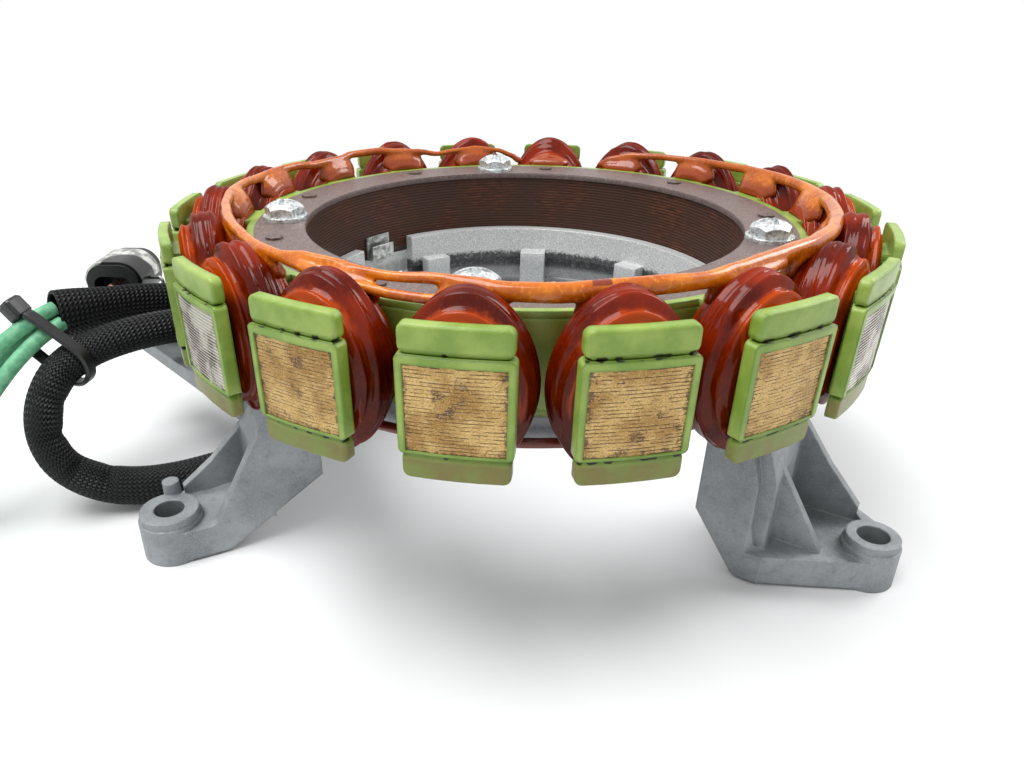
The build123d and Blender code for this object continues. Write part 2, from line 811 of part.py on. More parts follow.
# Rubber grommet under the skirt, where both sleeves come out
grommet_middle = (sleeve_long_route[0][1] + sleeve_short_route[0][1]) / 2
grommet_face = sleeve_long_route[0][0]
with BuildPart() as lead_grommet:
    with BuildSketch(Plane.XY.offset(skirt_bottom - grommet_height)):
        with Locations((grommet_face + grommet_length / 2, grommet_middle)):
            RectangleRounded(grommet_length, grommet_width, grommet_corner)
    extrude(amount=grommet_height)
lead_grommet.part.label = "lead_grommet"
export_step(lead_grommet.part, "parts/lead_grommet.step")

# Sleeves and lead wires
cords = [
    ("sleeve_long", sleeve_long_route, sleeve_long_radius),
    ("sleeve_short", sleeve_short_route, sleeve_short_radius),
]
for number, route in enumerate(wire_routes, start=1):
    cords.append((f"green_wire_{number}", route, wire_radius))
for cord_name, route, radius in cords:
    cord = tube_along(route, radius)
    cord.label = cord_name
    export_step(cord, f"parts/{cord_name}.step")


def crossing(route, plane):
    """Place in a plane, in its own coordinates, where a route goes through it."""
    local = [plane.to_local_coords(Vector(*point)) for point in route]
    for near, far in zip(local, local[1:]):
        if near.Z * far.Z <= 0:
            share = near.Z / (near.Z - far.Z)
            return near + (far - near) * share


# Cable tie round the long sleeve and the wires
tie_plane = Plane(origin=tie_origin, x_dir=tie_across, z_dir=tie_normal)
bundle = [(crossing(sleeve_long_route, tie_plane), sleeve_long_radius)]
for route in wire_routes:
    bundle.append((crossing(route, tie_plane), wire_radius))


def bundle_outline(extra):
    """Strap line drawn tight round the bundle, with extra room."""
    with BuildSketch(tie_plane) as outline:
        with BuildLine():
            for place, radius in bundle:
                CenterArc((place.X, place.Y), radius + extra, 0, 360)
        make_hull()
    return outline.sketch


tie_head_place = bundle[3][0].X + wire_radius + tie_clearance + tie_thickness + tie_head_length / 2 - 0.4
with BuildPart() as cable_tie:
    extrude(bundle_outline(tie_clearance + tie_thickness), amount=tie_width / 2, both=True)
    extrude(bundle_outline(tie_clearance), amount=tie_width, both=True, mode=Mode.SUBTRACT)
    with BuildSketch(tie_plane):
        with Locations((tie_head_place, bundle[3][0].Y)):
            Rectangle(tie_head_length, tie_head_height)
    extrude(amount=tie_width / 2 + 1, both=True)
cable_tie.part.label = "cable_tie"
export_step(cable_tie.part, "parts/cable_tie.step")

# Plug on the end of the long sleeve
sleeve_end = Vector(*sleeve_long_route[-1])
sleeve_heading = (sleeve_end - Vector(*sleeve_long_route[-2])).normalized()
with BuildPart() as sleeve_plug:
    with BuildSketch(Plane(origin=sleeve_end, z_dir=sleeve_heading)):
        Circle(sleeve_long_radius)
    extrude(amount=sleeve_plug_length)
sleeve_plug.part.label = "sleeve_plug"
export_step(sleeve_plug.part, "parts/sleeve_plug.step")

# Connector on the ends of the wires
wire_end = Vector(*wire_routes[0][-1])
wire_heading = (wire_end - Vector(*wire_routes[0][-2])).normalized()
with BuildPart() as wire_connector:
    connector_plane = Plane(origin=(wire_end.X, wire_end.Y, 0), x_dir=wire_heading, z_dir=(0, 0, 1))
    with BuildSketch(connector_plane):
        with Locations((wire_connector_length / 2, 0)):
            Rectangle(wire_connector_length, wire_connector_width)
    extrude(amount=wire_connector_height)
    socket_plane = Plane(
        origin=wire_end + wire_heading * wire_connector_length + Vector(0, 0, 1.85),
        x_dir=wire_heading.cross(Vector(0, 0, 1)),
        z_dir=wire_heading,
    )
    with BuildSketch(socket_plane):
        Rectangle((len(wire_routes) - 1) * wire_spacing + wire_connector_socket, wire_connector_socket)
    extrude(amount=-wire_connector_length / 2, mode=Mode.SUBTRACT)
wire_connector.part.label = "wire_connector"
export_step(wire_connector.part, "parts/wire_connector.step")

# Connector on the post of the arm: moulded body, sheet cover, terminal and wire bail
connector_middle = connector_bottom + connector_height / 2
connector_face = Plane(
    origin=(post_place[0], connector_front, connector_middle), x_dir=(1, 0, 0), z_dir=(0, -1, 0)
)
with BuildPart() as connector_body:
    with BuildSketch(connector_face):
        RectangleRounded(connector_width, connector_height, connector_corner)
    extrude(amount=-connector_length)
    with BuildSketch(connector_face):
        with Locations((0, -pocket_drop)):
            RectangleRounded(pocket_width, pocket_height, pocket_corner)
    extrude(amount=-pocket_depth, mode=Mode.SUBTRACT)
connector_body.part.label = "connector_body"
export_step(connector_body.part, "parts/connector_body.step")

with BuildPart() as connector_cover:
    with BuildSketch(connector_face.offset(-1)):
        RectangleRounded(
            connector_width + 2 * cover_thickness,
            connector_height + 2 * cover_thickness,
            connector_corner + cover_thickness,
        )
        RectangleRounded(connector_width, connector_height, connector_corner, mode=Mode.SUBTRACT)
        with Locations((0, -connector_height / 2)):
            Rectangle(2 * connector_width, connector_height, mode=Mode.SUBTRACT)
    extrude(amount=-cover_length)
connector_cover.part.label = "connector_cover"
export_step(connector_cover.part, "parts/connector_cover.step")

with BuildPart() as connector_terminal:
    with BuildSketch(connector_face.offset(-pocket_depth)):
        with Locations((-1.5, -1)):
            Circle(terminal_radius)
    extrude(amount=pocket_depth - 1)
connector_terminal.part.label = "connector_terminal"
export_step(connector_terminal.part, "parts/connector_terminal.step")

with BuildPart() as connector_bail:
    bail_start = connector_width / 2 + cover_thickness
    with BuildLine(connector_face.offset(-bail_setback)) as bail_path:
        FilletPolyline(
            (bail_start, bail_wire_radius),
            (bail_start + bail_reach, bail_wire_radius),
            (bail_start + bail_reach, bail_wire_radius - bail_height),
            (bail_start + 1, bail_wire_radius - bail_height),
            radius=1.5,
        )
    with BuildSketch(Plane(origin=bail_path.line @ 0, z_dir=bail_path.line % 0)):
        Circle(bail_wire_radius)
    sweep(path=bail_path.line)
connector_bail.part.label = "connector_bail"
export_step(connector_bail.part, "parts/connector_bail.step")
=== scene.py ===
from math import cos, exp, floor, hypot, pi, radians, sin, tan, tau

import bpy
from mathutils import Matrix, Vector, noise


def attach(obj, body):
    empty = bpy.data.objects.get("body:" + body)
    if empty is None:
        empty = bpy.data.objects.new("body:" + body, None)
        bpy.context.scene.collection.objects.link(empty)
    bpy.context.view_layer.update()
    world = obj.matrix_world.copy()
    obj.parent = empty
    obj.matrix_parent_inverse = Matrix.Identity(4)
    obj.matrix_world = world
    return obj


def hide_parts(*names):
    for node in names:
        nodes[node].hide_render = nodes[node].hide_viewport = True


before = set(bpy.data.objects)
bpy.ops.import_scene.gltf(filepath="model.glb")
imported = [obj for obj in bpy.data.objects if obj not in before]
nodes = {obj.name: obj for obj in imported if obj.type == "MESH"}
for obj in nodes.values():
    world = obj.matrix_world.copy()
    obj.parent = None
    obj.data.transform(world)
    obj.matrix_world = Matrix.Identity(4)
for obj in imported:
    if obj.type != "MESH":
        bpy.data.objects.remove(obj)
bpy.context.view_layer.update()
mm = 0.001

# Sizes shared with the solids, in millimetres
stack_top = 83.0
stack_middle = 70.8
stack_half = 12.2
pole_count = 18
pole_pitch = 360 / pole_count
pole_on_x = 6
yoke_edge_radius = 76.4
coil_inner_radius = 79.3
coil_outer_radius = 95.2
pole_face_radius = 100.0
skirt_bottom = 45.0
register_bottom = 53.0
# Middle heights of the necks between the lips and the frames round the pole faces
upper_neck = 81.75
lower_neck = 59.85
# The bare pole faces inside their frames
face_half_width = 9.9
face_bottom = 61.0
face_top = 80.8


def polar(radius, azimuth, z=0.0):
    """A point in millimetres, from a radius, an azimuth in degrees and a height."""
    return Vector((radius * cos(radians(azimuth)), radius * sin(radians(azimuth)), z))


def pole_azimuth(number):
    return pole_pitch * (number - pole_on_x)


def new_object(name, data):
    """An object in the scene that holds the data."""
    made = bpy.data.objects.new(name, data)
    bpy.context.scene.collection.objects.link(made)
    return made


# Camera, fitted to the photo: it looks down by this many degrees
camera_down = 30.24
camera_data = bpy.data.cameras.new("camera")
camera = new_object("camera", camera_data)
camera.location = Vector((-13.372, -225.183, 55.315 + stack_top)) * mm
camera.rotation_euler = (radians(90 - camera_down), radians(0.02), radians(0.42))
camera_data.sensor_width = 36
camera_data.lens = 26.69
camera_data.shift_x = 0.04045
camera_data.shift_y = 0.05443
camera_data.clip_start = 0.01
bpy.context.scene.camera = camera


# Material building blocks
def srgb(red, green, blue):
    """A colour given on a scale of 0 to 255, made linear."""
    linear = []
    for channel in (red, green, blue):
        value = channel / 255
        linear.append(value / 12.92 if value <= 0.04045 else ((value + 0.055) / 1.055) ** 2.4)
    return (*linear, 1.0)


class Graph:
    """A node material with short calls for the nodes used here."""

    def __init__(self, name, **constants):
        self.material = bpy.data.materials.new(name)
        self.material.use_nodes = True
        self.tree = self.material.node_tree
        self.shader = self.tree.nodes["Principled BSDF"]
        self.finish(**constants)

    def join(self, source, target):
        """Feeds a socket or a constant into a socket."""
        if isinstance(source, bpy.types.NodeSocket):
            self.tree.links.new(source, target)
        else:
            target.default_value = source

    def node(self, kind, inputs, output=0, **settings):
        """Adds a node, feeds its inputs, and gives one of its outputs."""
        made = self.tree.nodes.new(kind)
        for name, value in settings.items():
            setattr(made, name, value)
        for socket, value in inputs.items():
            self.join(value, made.inputs[socket])
        return made.outputs[output]

    def math(self, operation, *values):
        return self.node("ShaderNodeMath", dict(enumerate(values)), operation=operation)

    def times(self, first, second):
        return self.math("MULTIPLY", first, second)

    def linear(self, value, slope, offset):
        return self.math("MULTIPLY_ADD", value, slope, offset)

    def mix(self, factor, first, second):
        """The first colour at a factor of 0 and the second at 1."""
        # The node's colour sockets share their names with others, so they are taken by place
        return self.node("ShaderNodeMix", {"Factor": factor, 6: first, 7: second}, 2, data_type="RGBA")

    def tint(self, tone, mask, share, colour):
        """Lays a colour over a tone where the mask is, at the given share."""
        return self.mix(self.times(mask, share), tone, colour)

    def steps(self, value, low, high):
        """0 below low, 1 above high, and smooth between."""
        inputs = {"Value": value, "From Min": low, "From Max": high}
        return self.node("ShaderNodeMapRange", inputs, interpolation_type="SMOOTHSTEP")

    def place(self):
        """Object coordinates, in millimetres."""
        metres = self.node("ShaderNodeTexCoord", {}, "Object")
        return self.node("ShaderNodeVectorMath", {0: metres, "Scale": 1 / mm}, operation="SCALE")

    def split(self, vector):
        return self.node("ShaderNodeSeparateXYZ", {0: vector}).node.outputs

    def combine(self, *values):
        return self.node("ShaderNodeCombineXYZ", dict(enumerate(values)))

    def noise(self, vector, scale, detail=3.0, roughness=0.55):
        """Noise whose scale is in features per millimetre."""
        inputs = {"Vector": vector, "Scale": scale, "Detail": detail, "Roughness": roughness}
        return self.node("ShaderNodeTexNoise", inputs)

    def radius(self, vector):
        """Distance from the axis of the bore."""
        x, y = self.split(vector)[:2]
        return self.math("SQRT", self.math("ADD", self.times(x, x), self.times(y, y)))

    def bump(self, height, distance, normal=None, strength=1.0):
        inputs = {"Strength": strength, "Distance": distance * mm, "Height": height}
        if normal is not None:
            inputs["Normal"] = normal
        return self.node("ShaderNodeBump", inputs)

    def soft_edges(self, radius):
        return self.node("ShaderNodeBevel", {"Radius": radius * mm}, samples=4)

    def edge_mask(self, radius):
        """1 on worn edges, from how far the softened normal turns away."""
        inputs = {0: self.soft_edges(radius), 1: self.node("ShaderNodeNewGeometry", {}, "Normal")}
        along = self.node("ShaderNodeVectorMath", inputs, "Value", operation="DOT_PRODUCT")
        return self.steps(self.math("SUBTRACT", 1.0, along), 0.02, 0.3)

    def finish(self, **sockets):
        """Feeds the shader's sockets and gives the material."""
        for socket, value in sockets.items():
            self.join(value, self.shader.inputs[socket.replace("_", " ")])
        return self.material


def casting_material():
    """Grey cast metal: bright inside the bore, with a rough band of painted shade in the recess at the
    foot of its wall.
    """
    g = Graph("casting", Metallic=0.35)
    place = g.place()
    cloud = g.noise(place, 0.05, 4)
    grain = g.noise(place, 2.4, 3, 0.6)
    tone = g.mix(g.steps(cloud, 0.3, 0.7), srgb(118, 122, 125), srgb(156, 160, 163))
    tone = g.tint(tone, g.steps(grain, 0.4, 0.8), 0.45, srgb(184, 188, 190))
    mottle = g.noise(place, 0.3, 5, 0.75)
    tone = g.tint(tone, g.steps(mottle, 0.5, 0.68), 0.35, srgb(100, 104, 107))
    pits = g.steps(g.noise(place, 1.1, 2, 0.7), 0.36, 0.26)
    tone = g.tint(tone, pits, 0.5, srgb(92, 95, 98))
    worn = g.times(g.edge_mask(0.45), g.steps(g.noise(place, 0.35, 4), 0.4, 0.6))
    tone = g.tint(tone, worn, 0.8, srgb(200, 203, 204))
    height_up = g.split(place)[2]
    reach = g.radius(place)
    above_foot = g.steps(height_up, skirt_bottom - 2, skirt_bottom)
    inside = g.times(g.steps(reach, 66.0, 64.5), above_foot)
    lift = g.steps(height_up, register_bottom - 1, register_bottom + 3)
    bright_share = g.linear(lift, 0.35, 0.55)
    bright = g.mix(g.steps(grain, 0.35, 0.7), srgb(182, 185, 185), srgb(232, 234, 232))
    tone = g.tint(tone, inside, bright_share, bright)
    # Painted shade: the recess at the foot of the bore's wall is darkened towards near-black, over a
    # rough bump.
    sand = g.noise(place, 0.9, 5, 0.8)
    ragged = g.linear(g.math("SUBTRACT", sand, 0.5), 5.0, height_up)
    fade = g.linear(g.steps(ragged, 48.0, 50.0), 0.5, 0.5)
    foot = g.times(g.steps(ragged, 56.0, 54.6), fade)
    on_wall = g.times(g.steps(reach, 63.2, 62.9), g.steps(reach, 59.0, 59.3))
    foot = g.times(foot, on_wall)
    dark = g.mix(g.steps(sand, 0.48, 0.7), srgb(24, 26, 28), srgb(124, 126, 126))
    tone = g.tint(tone, foot, 0.9, dark)
    rough = g.linear(grain, 0.2, 0.42)
    height = g.linear(g.times(foot, sand), 4.0, grain)
    normal = g.bump(height, 0.06, g.soft_edges(0.8), 0.6)
    return g.finish(Base_Color=tone, Roughness=rough, Normal=normal)


def green_coat_material(name, with_top_face):
    """Glossy sprayed coat, browner low down, with painted shade in the grooves and pits where the lips
    leave the frames.
    """
    g = Graph(name, Specular_IOR_Level=0.5)
    place = g.place()
    x, y, z = g.split(place)
    reach = g.radius(place)
    cloud = g.noise(place, 0.11, 4)
    grain = g.noise(place, 2.6, 2)
    tone = g.mix(g.steps(cloud, 0.35, 0.65), srgb(118, 148, 54), srgb(146, 170, 78))
    low = g.steps(z, stack_top - 23, stack_top - 24.8)
    brown = g.mix(g.steps(g.noise(place, 0.16, 3), 0.38, 0.6), srgb(108, 118, 44), srgb(112, 96, 40))
    tone = g.tint(tone, low, 0.85, brown)
    stain = g.steps(g.noise(place, 0.5, 5, 0.75), 0.62, 0.7)
    tone = g.tint(tone, stain, 0.5, srgb(112, 98, 40))
    tone = g.tint(tone, g.edge_mask(0.9), 0.75, srgb(98, 148, 34))
    turn = g.combine(g.times(x, 0.34), g.times(y, 0.34), 0.0)
    gaps = g.steps(g.noise(turn, 1.0, 1, 0.5), 0.5, 0.62)
    wave = g.times(g.math("SUBTRACT", g.noise(turn, 2.0, 2), 0.5), 0.5)
    off_top = g.math("ABSOLUTE", g.math("ADD", g.math("SUBTRACT", z, upper_neck), wave))
    off_bottom = g.math("ABSOLUTE", g.math("ADD", g.math("SUBTRACT", z, lower_neck), wave))
    near = g.math("MINIMUM", off_top, off_bottom)
    outer = g.steps(reach, 97.6, 98.2)
    neck_groove_shade = g.times(g.steps(near, 1.0, 0.1), outer)
    pit_reach = g.math("SUBTRACT", g.times(gaps, 0.62), near)
    pits = g.times(g.steps(pit_reach, 0.05, 0.35), outer)
    # Painted shade: the necks between the lips and the frames are darkened, and the pits there are
    # painted near-black.
    tone = g.tint(tone, neck_groove_shade, 0.45, srgb(84, 112, 36))
    tone = g.tint(tone, pits, 0.97, srgb(16, 16, 10))
    tone = g.mix(g.steps(reach, 64.4, 63.8), tone, srgb(44, 32, 26))
    rough = g.linear(grain, 0.14, 0.26)
    if with_top_face:
        facing = g.split(g.node("ShaderNodeNewGeometry", {}, "Normal"))
        up = g.steps(facing[2], 0.6, 0.8)
        inside = g.steps(reach, yoke_edge_radius + 0.15, yoke_edge_radius - 0.15)
        bare = g.math("MAXIMUM", g.times(up, inside), g.steps(reach, 66.0, 65.0))
        bare = g.times(bare, g.steps(z, 80.0, 81.0))
        varnish = g.mix(g.noise(place, 0.35, 5, 0.7), srgb(78, 62, 58), srgb(122, 106, 102))
        speck = g.noise(place, 2.2, 2)
        varnish = g.tint(varnish, g.steps(speck, 0.52, 0.66), 0.7, srgb(62, 46, 42))
        varnish = g.tint(varnish, g.steps(speck, 0.4, 0.3), 0.5, srgb(166, 156, 150))
        tone = g.mix(bare, tone, varnish)
        rough = g.linear(bare, 0.12, rough)
    sunk = g.math("MAXIMUM", pits, g.times(neck_groove_shade, 0.6))
    height = g.math("SUBTRACT", g.times(grain, 0.3), sunk)
    normal = g.bump(height, 0.3, g.soft_edges(1.1), 0.8)
    return g.finish(Base_Color=tone, Roughness=rough, Normal=normal)


def lamination_material():
    """Bare pole faces, gold in front and a painted pale grey reflection at the sides, and brown
    varnish in the bore.
    """
    g = Graph("laminations", Specular_IOR_Level=0.25)
    place = g.place()
    x, y, z = g.split(place)
    wobble = g.times(g.noise(place, 0.2, 2), 0.2)
    level = g.math("ADD", z, wobble)
    outer_sheet = 0.8
    inner_sheet = 0.95
    outer_wave = g.linear(g.math("SINE", g.times(level, tau / outer_sheet)), 0.5, 0.5)
    inner_wave = g.linear(g.math("SINE", g.times(level, tau / inner_sheet)), 0.5, 0.5)
    outside = g.steps(g.radius(place), 90.0, 91.0)
    stretched = g.combine(g.times(x, 0.3), g.times(y, 0.3), g.times(z, 1.9))
    streak = g.noise(stretched, 1.0, 3, 0.7)
    speck = g.noise(place, 3.4, 3, 0.8)
    blotch = g.noise(place, 0.13, 3)
    dashes = g.steps(streak, 0.46, 0.54)
    line = g.times(g.steps(outer_wave, 0.78, 0.98), dashes)
    gold = g.mix(g.steps(blotch, 0.35, 0.65), srgb(160, 124, 70), srgb(204, 172, 112))
    gold = g.tint(gold, g.steps(streak, 0.5, 0.75), 0.6, srgb(222, 196, 148))
    gold = g.tint(gold, g.steps(speck, 0.52, 0.62), 0.7, srgb(104, 80, 52))
    gold = g.tint(gold, g.steps(speck, 0.42, 0.34), 0.5, srgb(236, 214, 170))
    gold = g.tint(gold, line, 0.85, srgb(62, 44, 34))
    # Painted reflection: the side faces, seen edge-on, take a grey tone with bright sheet lines in
    # place of gold.
    side_reflection = g.mix(g.steps(blotch, 0.42, 0.58), srgb(74, 58, 46), srgb(178, 172, 160))
    side_reflection = g.tint(side_reflection, g.steps(outer_wave, 0.72, 0.96), 0.85, srgb(244, 242, 234))
    side_reflection = g.tint(side_reflection, g.steps(speck, 0.56, 0.66), 0.5, srgb(90, 78, 66))
    reflecting_side = g.steps(g.math("ABSOLUTE", x), 60.5, 65.0)
    face = g.mix(reflecting_side, gold, side_reflection)
    turned = g.math("ARCTAN2", y, x)
    across = g.times(g.math("PINGPONG", turned, radians(pole_pitch / 2)), pole_face_radius)
    ragged = g.times(g.math("SUBTRACT", g.noise(place, 0.55, 4, 0.75), 0.5), 9.0)
    edge_side = g.steps(g.math("ADD", across, ragged), face_half_width - 0.5, face_half_width + 0.5)
    edge_low = g.steps(g.math("ADD", z, ragged), face_bottom + 0.6, face_bottom - 0.6)
    edge_high = g.steps(g.math("SUBTRACT", z, ragged), face_top - 0.6, face_top + 0.6)
    border = g.math("MAXIMUM", edge_side, g.math("MAXIMUM", edge_low, edge_high))
    patch = g.times(g.steps(g.noise(place, 0.2, 3), 0.6, 0.68), g.steps(speck, 0.4, 0.52))
    border = g.math("MAXIMUM", border, patch)
    face = g.tint(face, border, 0.75, srgb(74, 60, 58))
    brown = g.mix(g.steps(streak, 0.3, 0.7), srgb(54, 26, 14), srgb(100, 58, 38))
    brown = g.mix(g.steps(g.noise(place, 0.05, 2), 0.4, 0.6), brown, srgb(70, 44, 32))
    brown = g.tint(brown, g.steps(inner_wave, 0.55, 0.95), 0.85, srgb(20, 10, 6))
    tone = g.mix(outside, brown, face)
    metal = g.times(outside, 0.6)
    rough = g.linear(speck, 0.2, 0.36)
    wave = g.mix(outside, inner_wave, line)
    height = g.math("SUBTRACT", g.times(speck, 0.4), wave)
    return g.finish(Base_Color=tone, Metallic=metal, Roughness=rough, Normal=g.bump(height, 0.1))


def coil_varnish_material():
    """Thick varnish over copper turns: near black low down, where shade is painted, and orange-red
    where it is thin.
    """
    g = Graph("coil_varnish", Coat_Weight=0.38, Coat_Roughness=0.08, Specular_IOR_Level=0.0)
    place = g.place()
    x, y, z = g.split(place)
    reach = g.radius(place)
    cloud = g.noise(place, 0.08, 3)
    fine = g.noise(place, 0.5, 3, 0.6)
    off = g.math("SUBTRACT", fine, 0.5)
    tone = g.mix(g.steps(cloud, 0.35, 0.68), srgb(82, 12, 0), srgb(132, 34, 2))
    # Painted shade: the turns darken towards the bottom of the coil.
    low = g.steps(g.linear(off, 6.0, z), 84.0, 74.0)
    tone = g.tint(tone, low, 0.55, srgb(46, 6, 0))
    front = g.steps(g.linear(off, 2.4, reach), 91.9, 93.2)
    high = g.linear(g.steps(z, 80.0, 84.5), 0.8, 0.06)
    tone = g.tint(tone, front, high, srgb(172, 62, 0))
    strip = g.noise(g.combine(x, y, g.times(z, 0.05)), 0.6, 1)
    strip = g.times(g.steps(strip, 0.57, 0.62), g.steps(reach, 94.2, 94.8))
    tone = g.tint(tone, strip, 0.5, srgb(172, 66, 4))
    back = g.steps(g.linear(off, 3.0, reach), 84.2, 81.6)
    tone = g.tint(tone, back, 0.7, srgb(156, 56, 10))
    dry = g.noise(g.combine(x, y, g.times(z, 0.4)), 1.6, 4, 0.7)
    tone = g.tint(tone, g.steps(dry, 0.5, 0.72), 0.15, srgb(160, 78, 46))
    rough = g.linear(fine, 0.2, 0.3)
    return g.finish(Base_Color=tone, Roughness=rough, Normal=g.bump(fine, 0.12, None, 0.4))


def ring_varnish_material(name, dark, light, bright, low_tone):
    """Varnished leads: lighter on top, darker behind, low down and on the ring's front tab."""
    g = Graph(name, Coat_Weight=0.6, Coat_Roughness=0.1, Specular_IOR_Level=0.15)
    place = g.place()
    x, y, z = g.split(place)
    cloud = g.noise(place, 0.12, 3)
    fine = g.noise(place, 0.9, 3, 0.6)
    tone = g.mix(g.steps(cloud, 0.35, 0.68), dark, light)
    tone = g.tint(tone, g.steps(fine, 0.5, 0.7), 0.5, bright)
    level = g.linear(g.math("SUBTRACT", fine, 0.5), 2.0, z)
    tone = g.mix(g.steps(level, 88.2, 85.4), tone, low_tone)
    tone = g.tint(tone, g.steps(y, 0.0, 50.0), 0.6, low_tone)
    tab_azimuth = radians(-82.3)
    from_tab = g.math("SUBTRACT", g.math("ARCTAN2", y, x), tab_azimuth)
    tab = g.steps(g.math("ABSOLUTE", from_tab), 0.026, 0.022)
    tab = g.times(tab, g.steps(z, 90.0, 90.15))
    tone = g.tint(tone, tab, 0.9, srgb(112, 30, 16))
    rough = g.linear(fine, 0.18, 0.2)
    return g.finish(Base_Color=tone, Roughness=rough, Normal=g.bump(fine, 0.2, None, 0.5))


def zinc_material():
    """Blotched plating of the screws and washers."""
    g = Graph("zinc", Metallic=0.75)
    place = g.place()
    patch = g.noise(place, 0.9, 4, 0.75)
    tone = g.mix(g.steps(patch, 0.32, 0.62), srgb(150, 156, 158), srgb(232, 236, 236))
    fleck = g.steps(g.noise(place, 2.5, 2), 0.36, 0.28)
    tone = g.tint(tone, fleck, 0.5, srgb(96, 104, 106))
    rough = g.linear(patch, 0.25, 0.24)
    normal = g.bump(patch, 0.12, g.soft_edges(0.5), 0.7)
    return g.finish(Base_Color=tone, Roughness=rough, Normal=normal)


def plain_material(name, first, second, roughness, grain_scale=1.5, metallic=0.0, edges=0.3):
    """Fine-grained finish in two close tones."""
    g = Graph(name, Metallic=metallic)
    grain = g.noise(g.place(), grain_scale, 3, 0.6)
    tone = g.mix(g.steps(grain, 0.35, 0.65), first, second)
    rough = g.linear(grain, 0.2, roughness - 0.1)
    normal = g.bump(grain, 0.05, g.soft_edges(edges), 0.6)
    return g.finish(Base_Color=tone, Roughness=rough, Normal=normal)


def cover_material():
    """Bright sheet with the black hood of the connector over its front."""
    g = Graph("cover")
    place = g.place()
    grain = g.noise(place, 0.35, 2)
    tone = g.mix(g.steps(grain, 0.4, 0.6), srgb(150, 150, 146), srgb(226, 226, 220))
    hood_middle = (-129.0, 17.2, 55.6)
    span = g.node("ShaderNodeVectorMath", {0: place, 1: hood_middle}, "Value", operation="DISTANCE")
    hood = g.steps(g.math("ADD", span, grain), 11.4, 10.8)
    tone = g.mix(hood, tone, srgb(20, 20, 21))
    metal = g.linear(hood, -0.8, 0.8)
    rough = g.linear(grain, 0.2, 0.26)
    normal = g.bump(grain, 0.1, g.soft_edges(0.4), 0.5)
    return g.finish(Base_Color=tone, Metallic=metal, Roughness=rough, Normal=normal)


def braid_material():
    """Flat black filaments in a two-over-two braid, from the tube's own coordinates."""
    g = Graph("braid", Specular_IOR_Level=0.3)
    around, along = g.split(g.node("ShaderNodeUVMap", {}, uv_map="tube"))[:2]
    first = g.math("ADD", around, along)
    second = g.math("SUBTRACT", around, along)
    cell = g.math("ADD", g.math("FLOOR", first), g.math("FLOOR", second))
    parity = g.math("ABSOLUTE", g.math("MODULO", cell, 2.0))
    ridge_first = g.math("SINE", g.times(g.math("FRACT", first), pi))
    ridge_second = g.math("SINE", g.times(g.math("FRACT", second), pi))
    over = g.times(ridge_second, g.math("SUBTRACT", 1.0, parity))
    height = g.math("ADD", g.times(ridge_first, parity), over)
    fibre = g.noise(g.place(), 5.0, 2)
    # Painted shade where the filaments dip between each other, lighter on their backs.
    tone = g.mix(g.steps(height, 0.35, 0.95), srgb(4, 4, 5), srgb(21, 22, 23))
    tone = g.tint(tone, fibre, 0.25, srgb(40, 41, 43))
    rough = g.linear(height, -0.12, 0.5)
    return g.finish(Base_Color=tone, Roughness=rough, Normal=g.bump(height, 0.35))


casting = casting_material()
green_coat = green_coat_material("green_coat", False)
plate_coat = green_coat_material("plate_coat", True)
laminations = lamination_material()
coil_varnish = coil_varnish_material()
ring_varnish = ring_varnish_material(
    "ring_varnish", srgb(176, 82, 4), srgb(210, 116, 14), srgb(236, 152, 46), srgb(146, 58, 12)
)
wire_varnish = ring_varnish_material(
    "wire_varnish", srgb(96, 36, 24), srgb(128, 54, 34), srgb(160, 76, 44), srgb(104, 40, 28)
)
zinc = zinc_material()
rivet_finish = plain_material("rivet", srgb(78, 62, 58), srgb(112, 98, 92), 0.45, 1.2, 0.3)
clip_finish = plain_material("clip", srgb(120, 124, 122), srgb(206, 208, 204), 0.35, 0.5, 0.7)
cover_finish = cover_material()
terminal_finish = plain_material("terminal", srgb(206, 150, 132), srgb(226, 178, 160), 0.35, 1.5, 0.8)
rubber = plain_material("rubber", srgb(20, 20, 21), srgb(34, 34, 35), 0.6, 1.5)
nylon = plain_material("nylon", srgb(14, 14, 15), srgb(26, 26, 28), 0.35, 1.0)
wire_green = plain_material("wire_green", srgb(84, 158, 118), srgb(118, 182, 142), 0.5, 0.5, 0.0, 0.2)
braid = braid_material()


def dress(name, material):
    """Gives a CAD node its material."""
    materials = nodes[name].data.materials
    materials.clear()
    materials.append(material)


for name, material in {
    "mounting_bracket": casting,
    "core_stack": laminations,
    "slot_insulation": green_coat,
    "top_end_plate": plate_coat,
    "bottom_end_plate": plate_coat,
    "lead_ring": ring_varnish,
    "crossover_wires": wire_varnish,
    "core_rivets": rivet_finish,
    "core_screws": zinc,
    "screw_washers": zinc,
    "lead_clip": clip_finish,
    "lead_grommet": rubber,
    "sleeve_plug": nylon,
    "wire_connector": nylon,
    "connector_body": nylon,
    "connector_cover": cover_finish,
    "connector_terminal": terminal_finish,
    "connector_bail": cover_finish,
}.items():
    dress(name, material)
for number in range(1, pole_count + 1):
    dress(f"coil_{number:02d}", coil_varnish)


def add_piece(name, vertices, faces, material, uv=None):
    """A smooth mesh piece, from points in millimetres, that rides on the part."""
    mesh = bpy.data.meshes.new(name)
    mesh.from_pydata([Vector(point) * mm for point in vertices], [], faces)
    if uv:
        layer = mesh.uv_layers.new(name="tube")
        for loop_index, pair in enumerate(uv):
            layer.data[loop_index].uv = pair
    mesh.materials.append(material)
    mesh.polygons.foreach_set("use_smooth", [True] * len(mesh.polygons))
    mesh.update()
    piece = new_object(name, mesh)
    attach(piece, "root")
    return piece


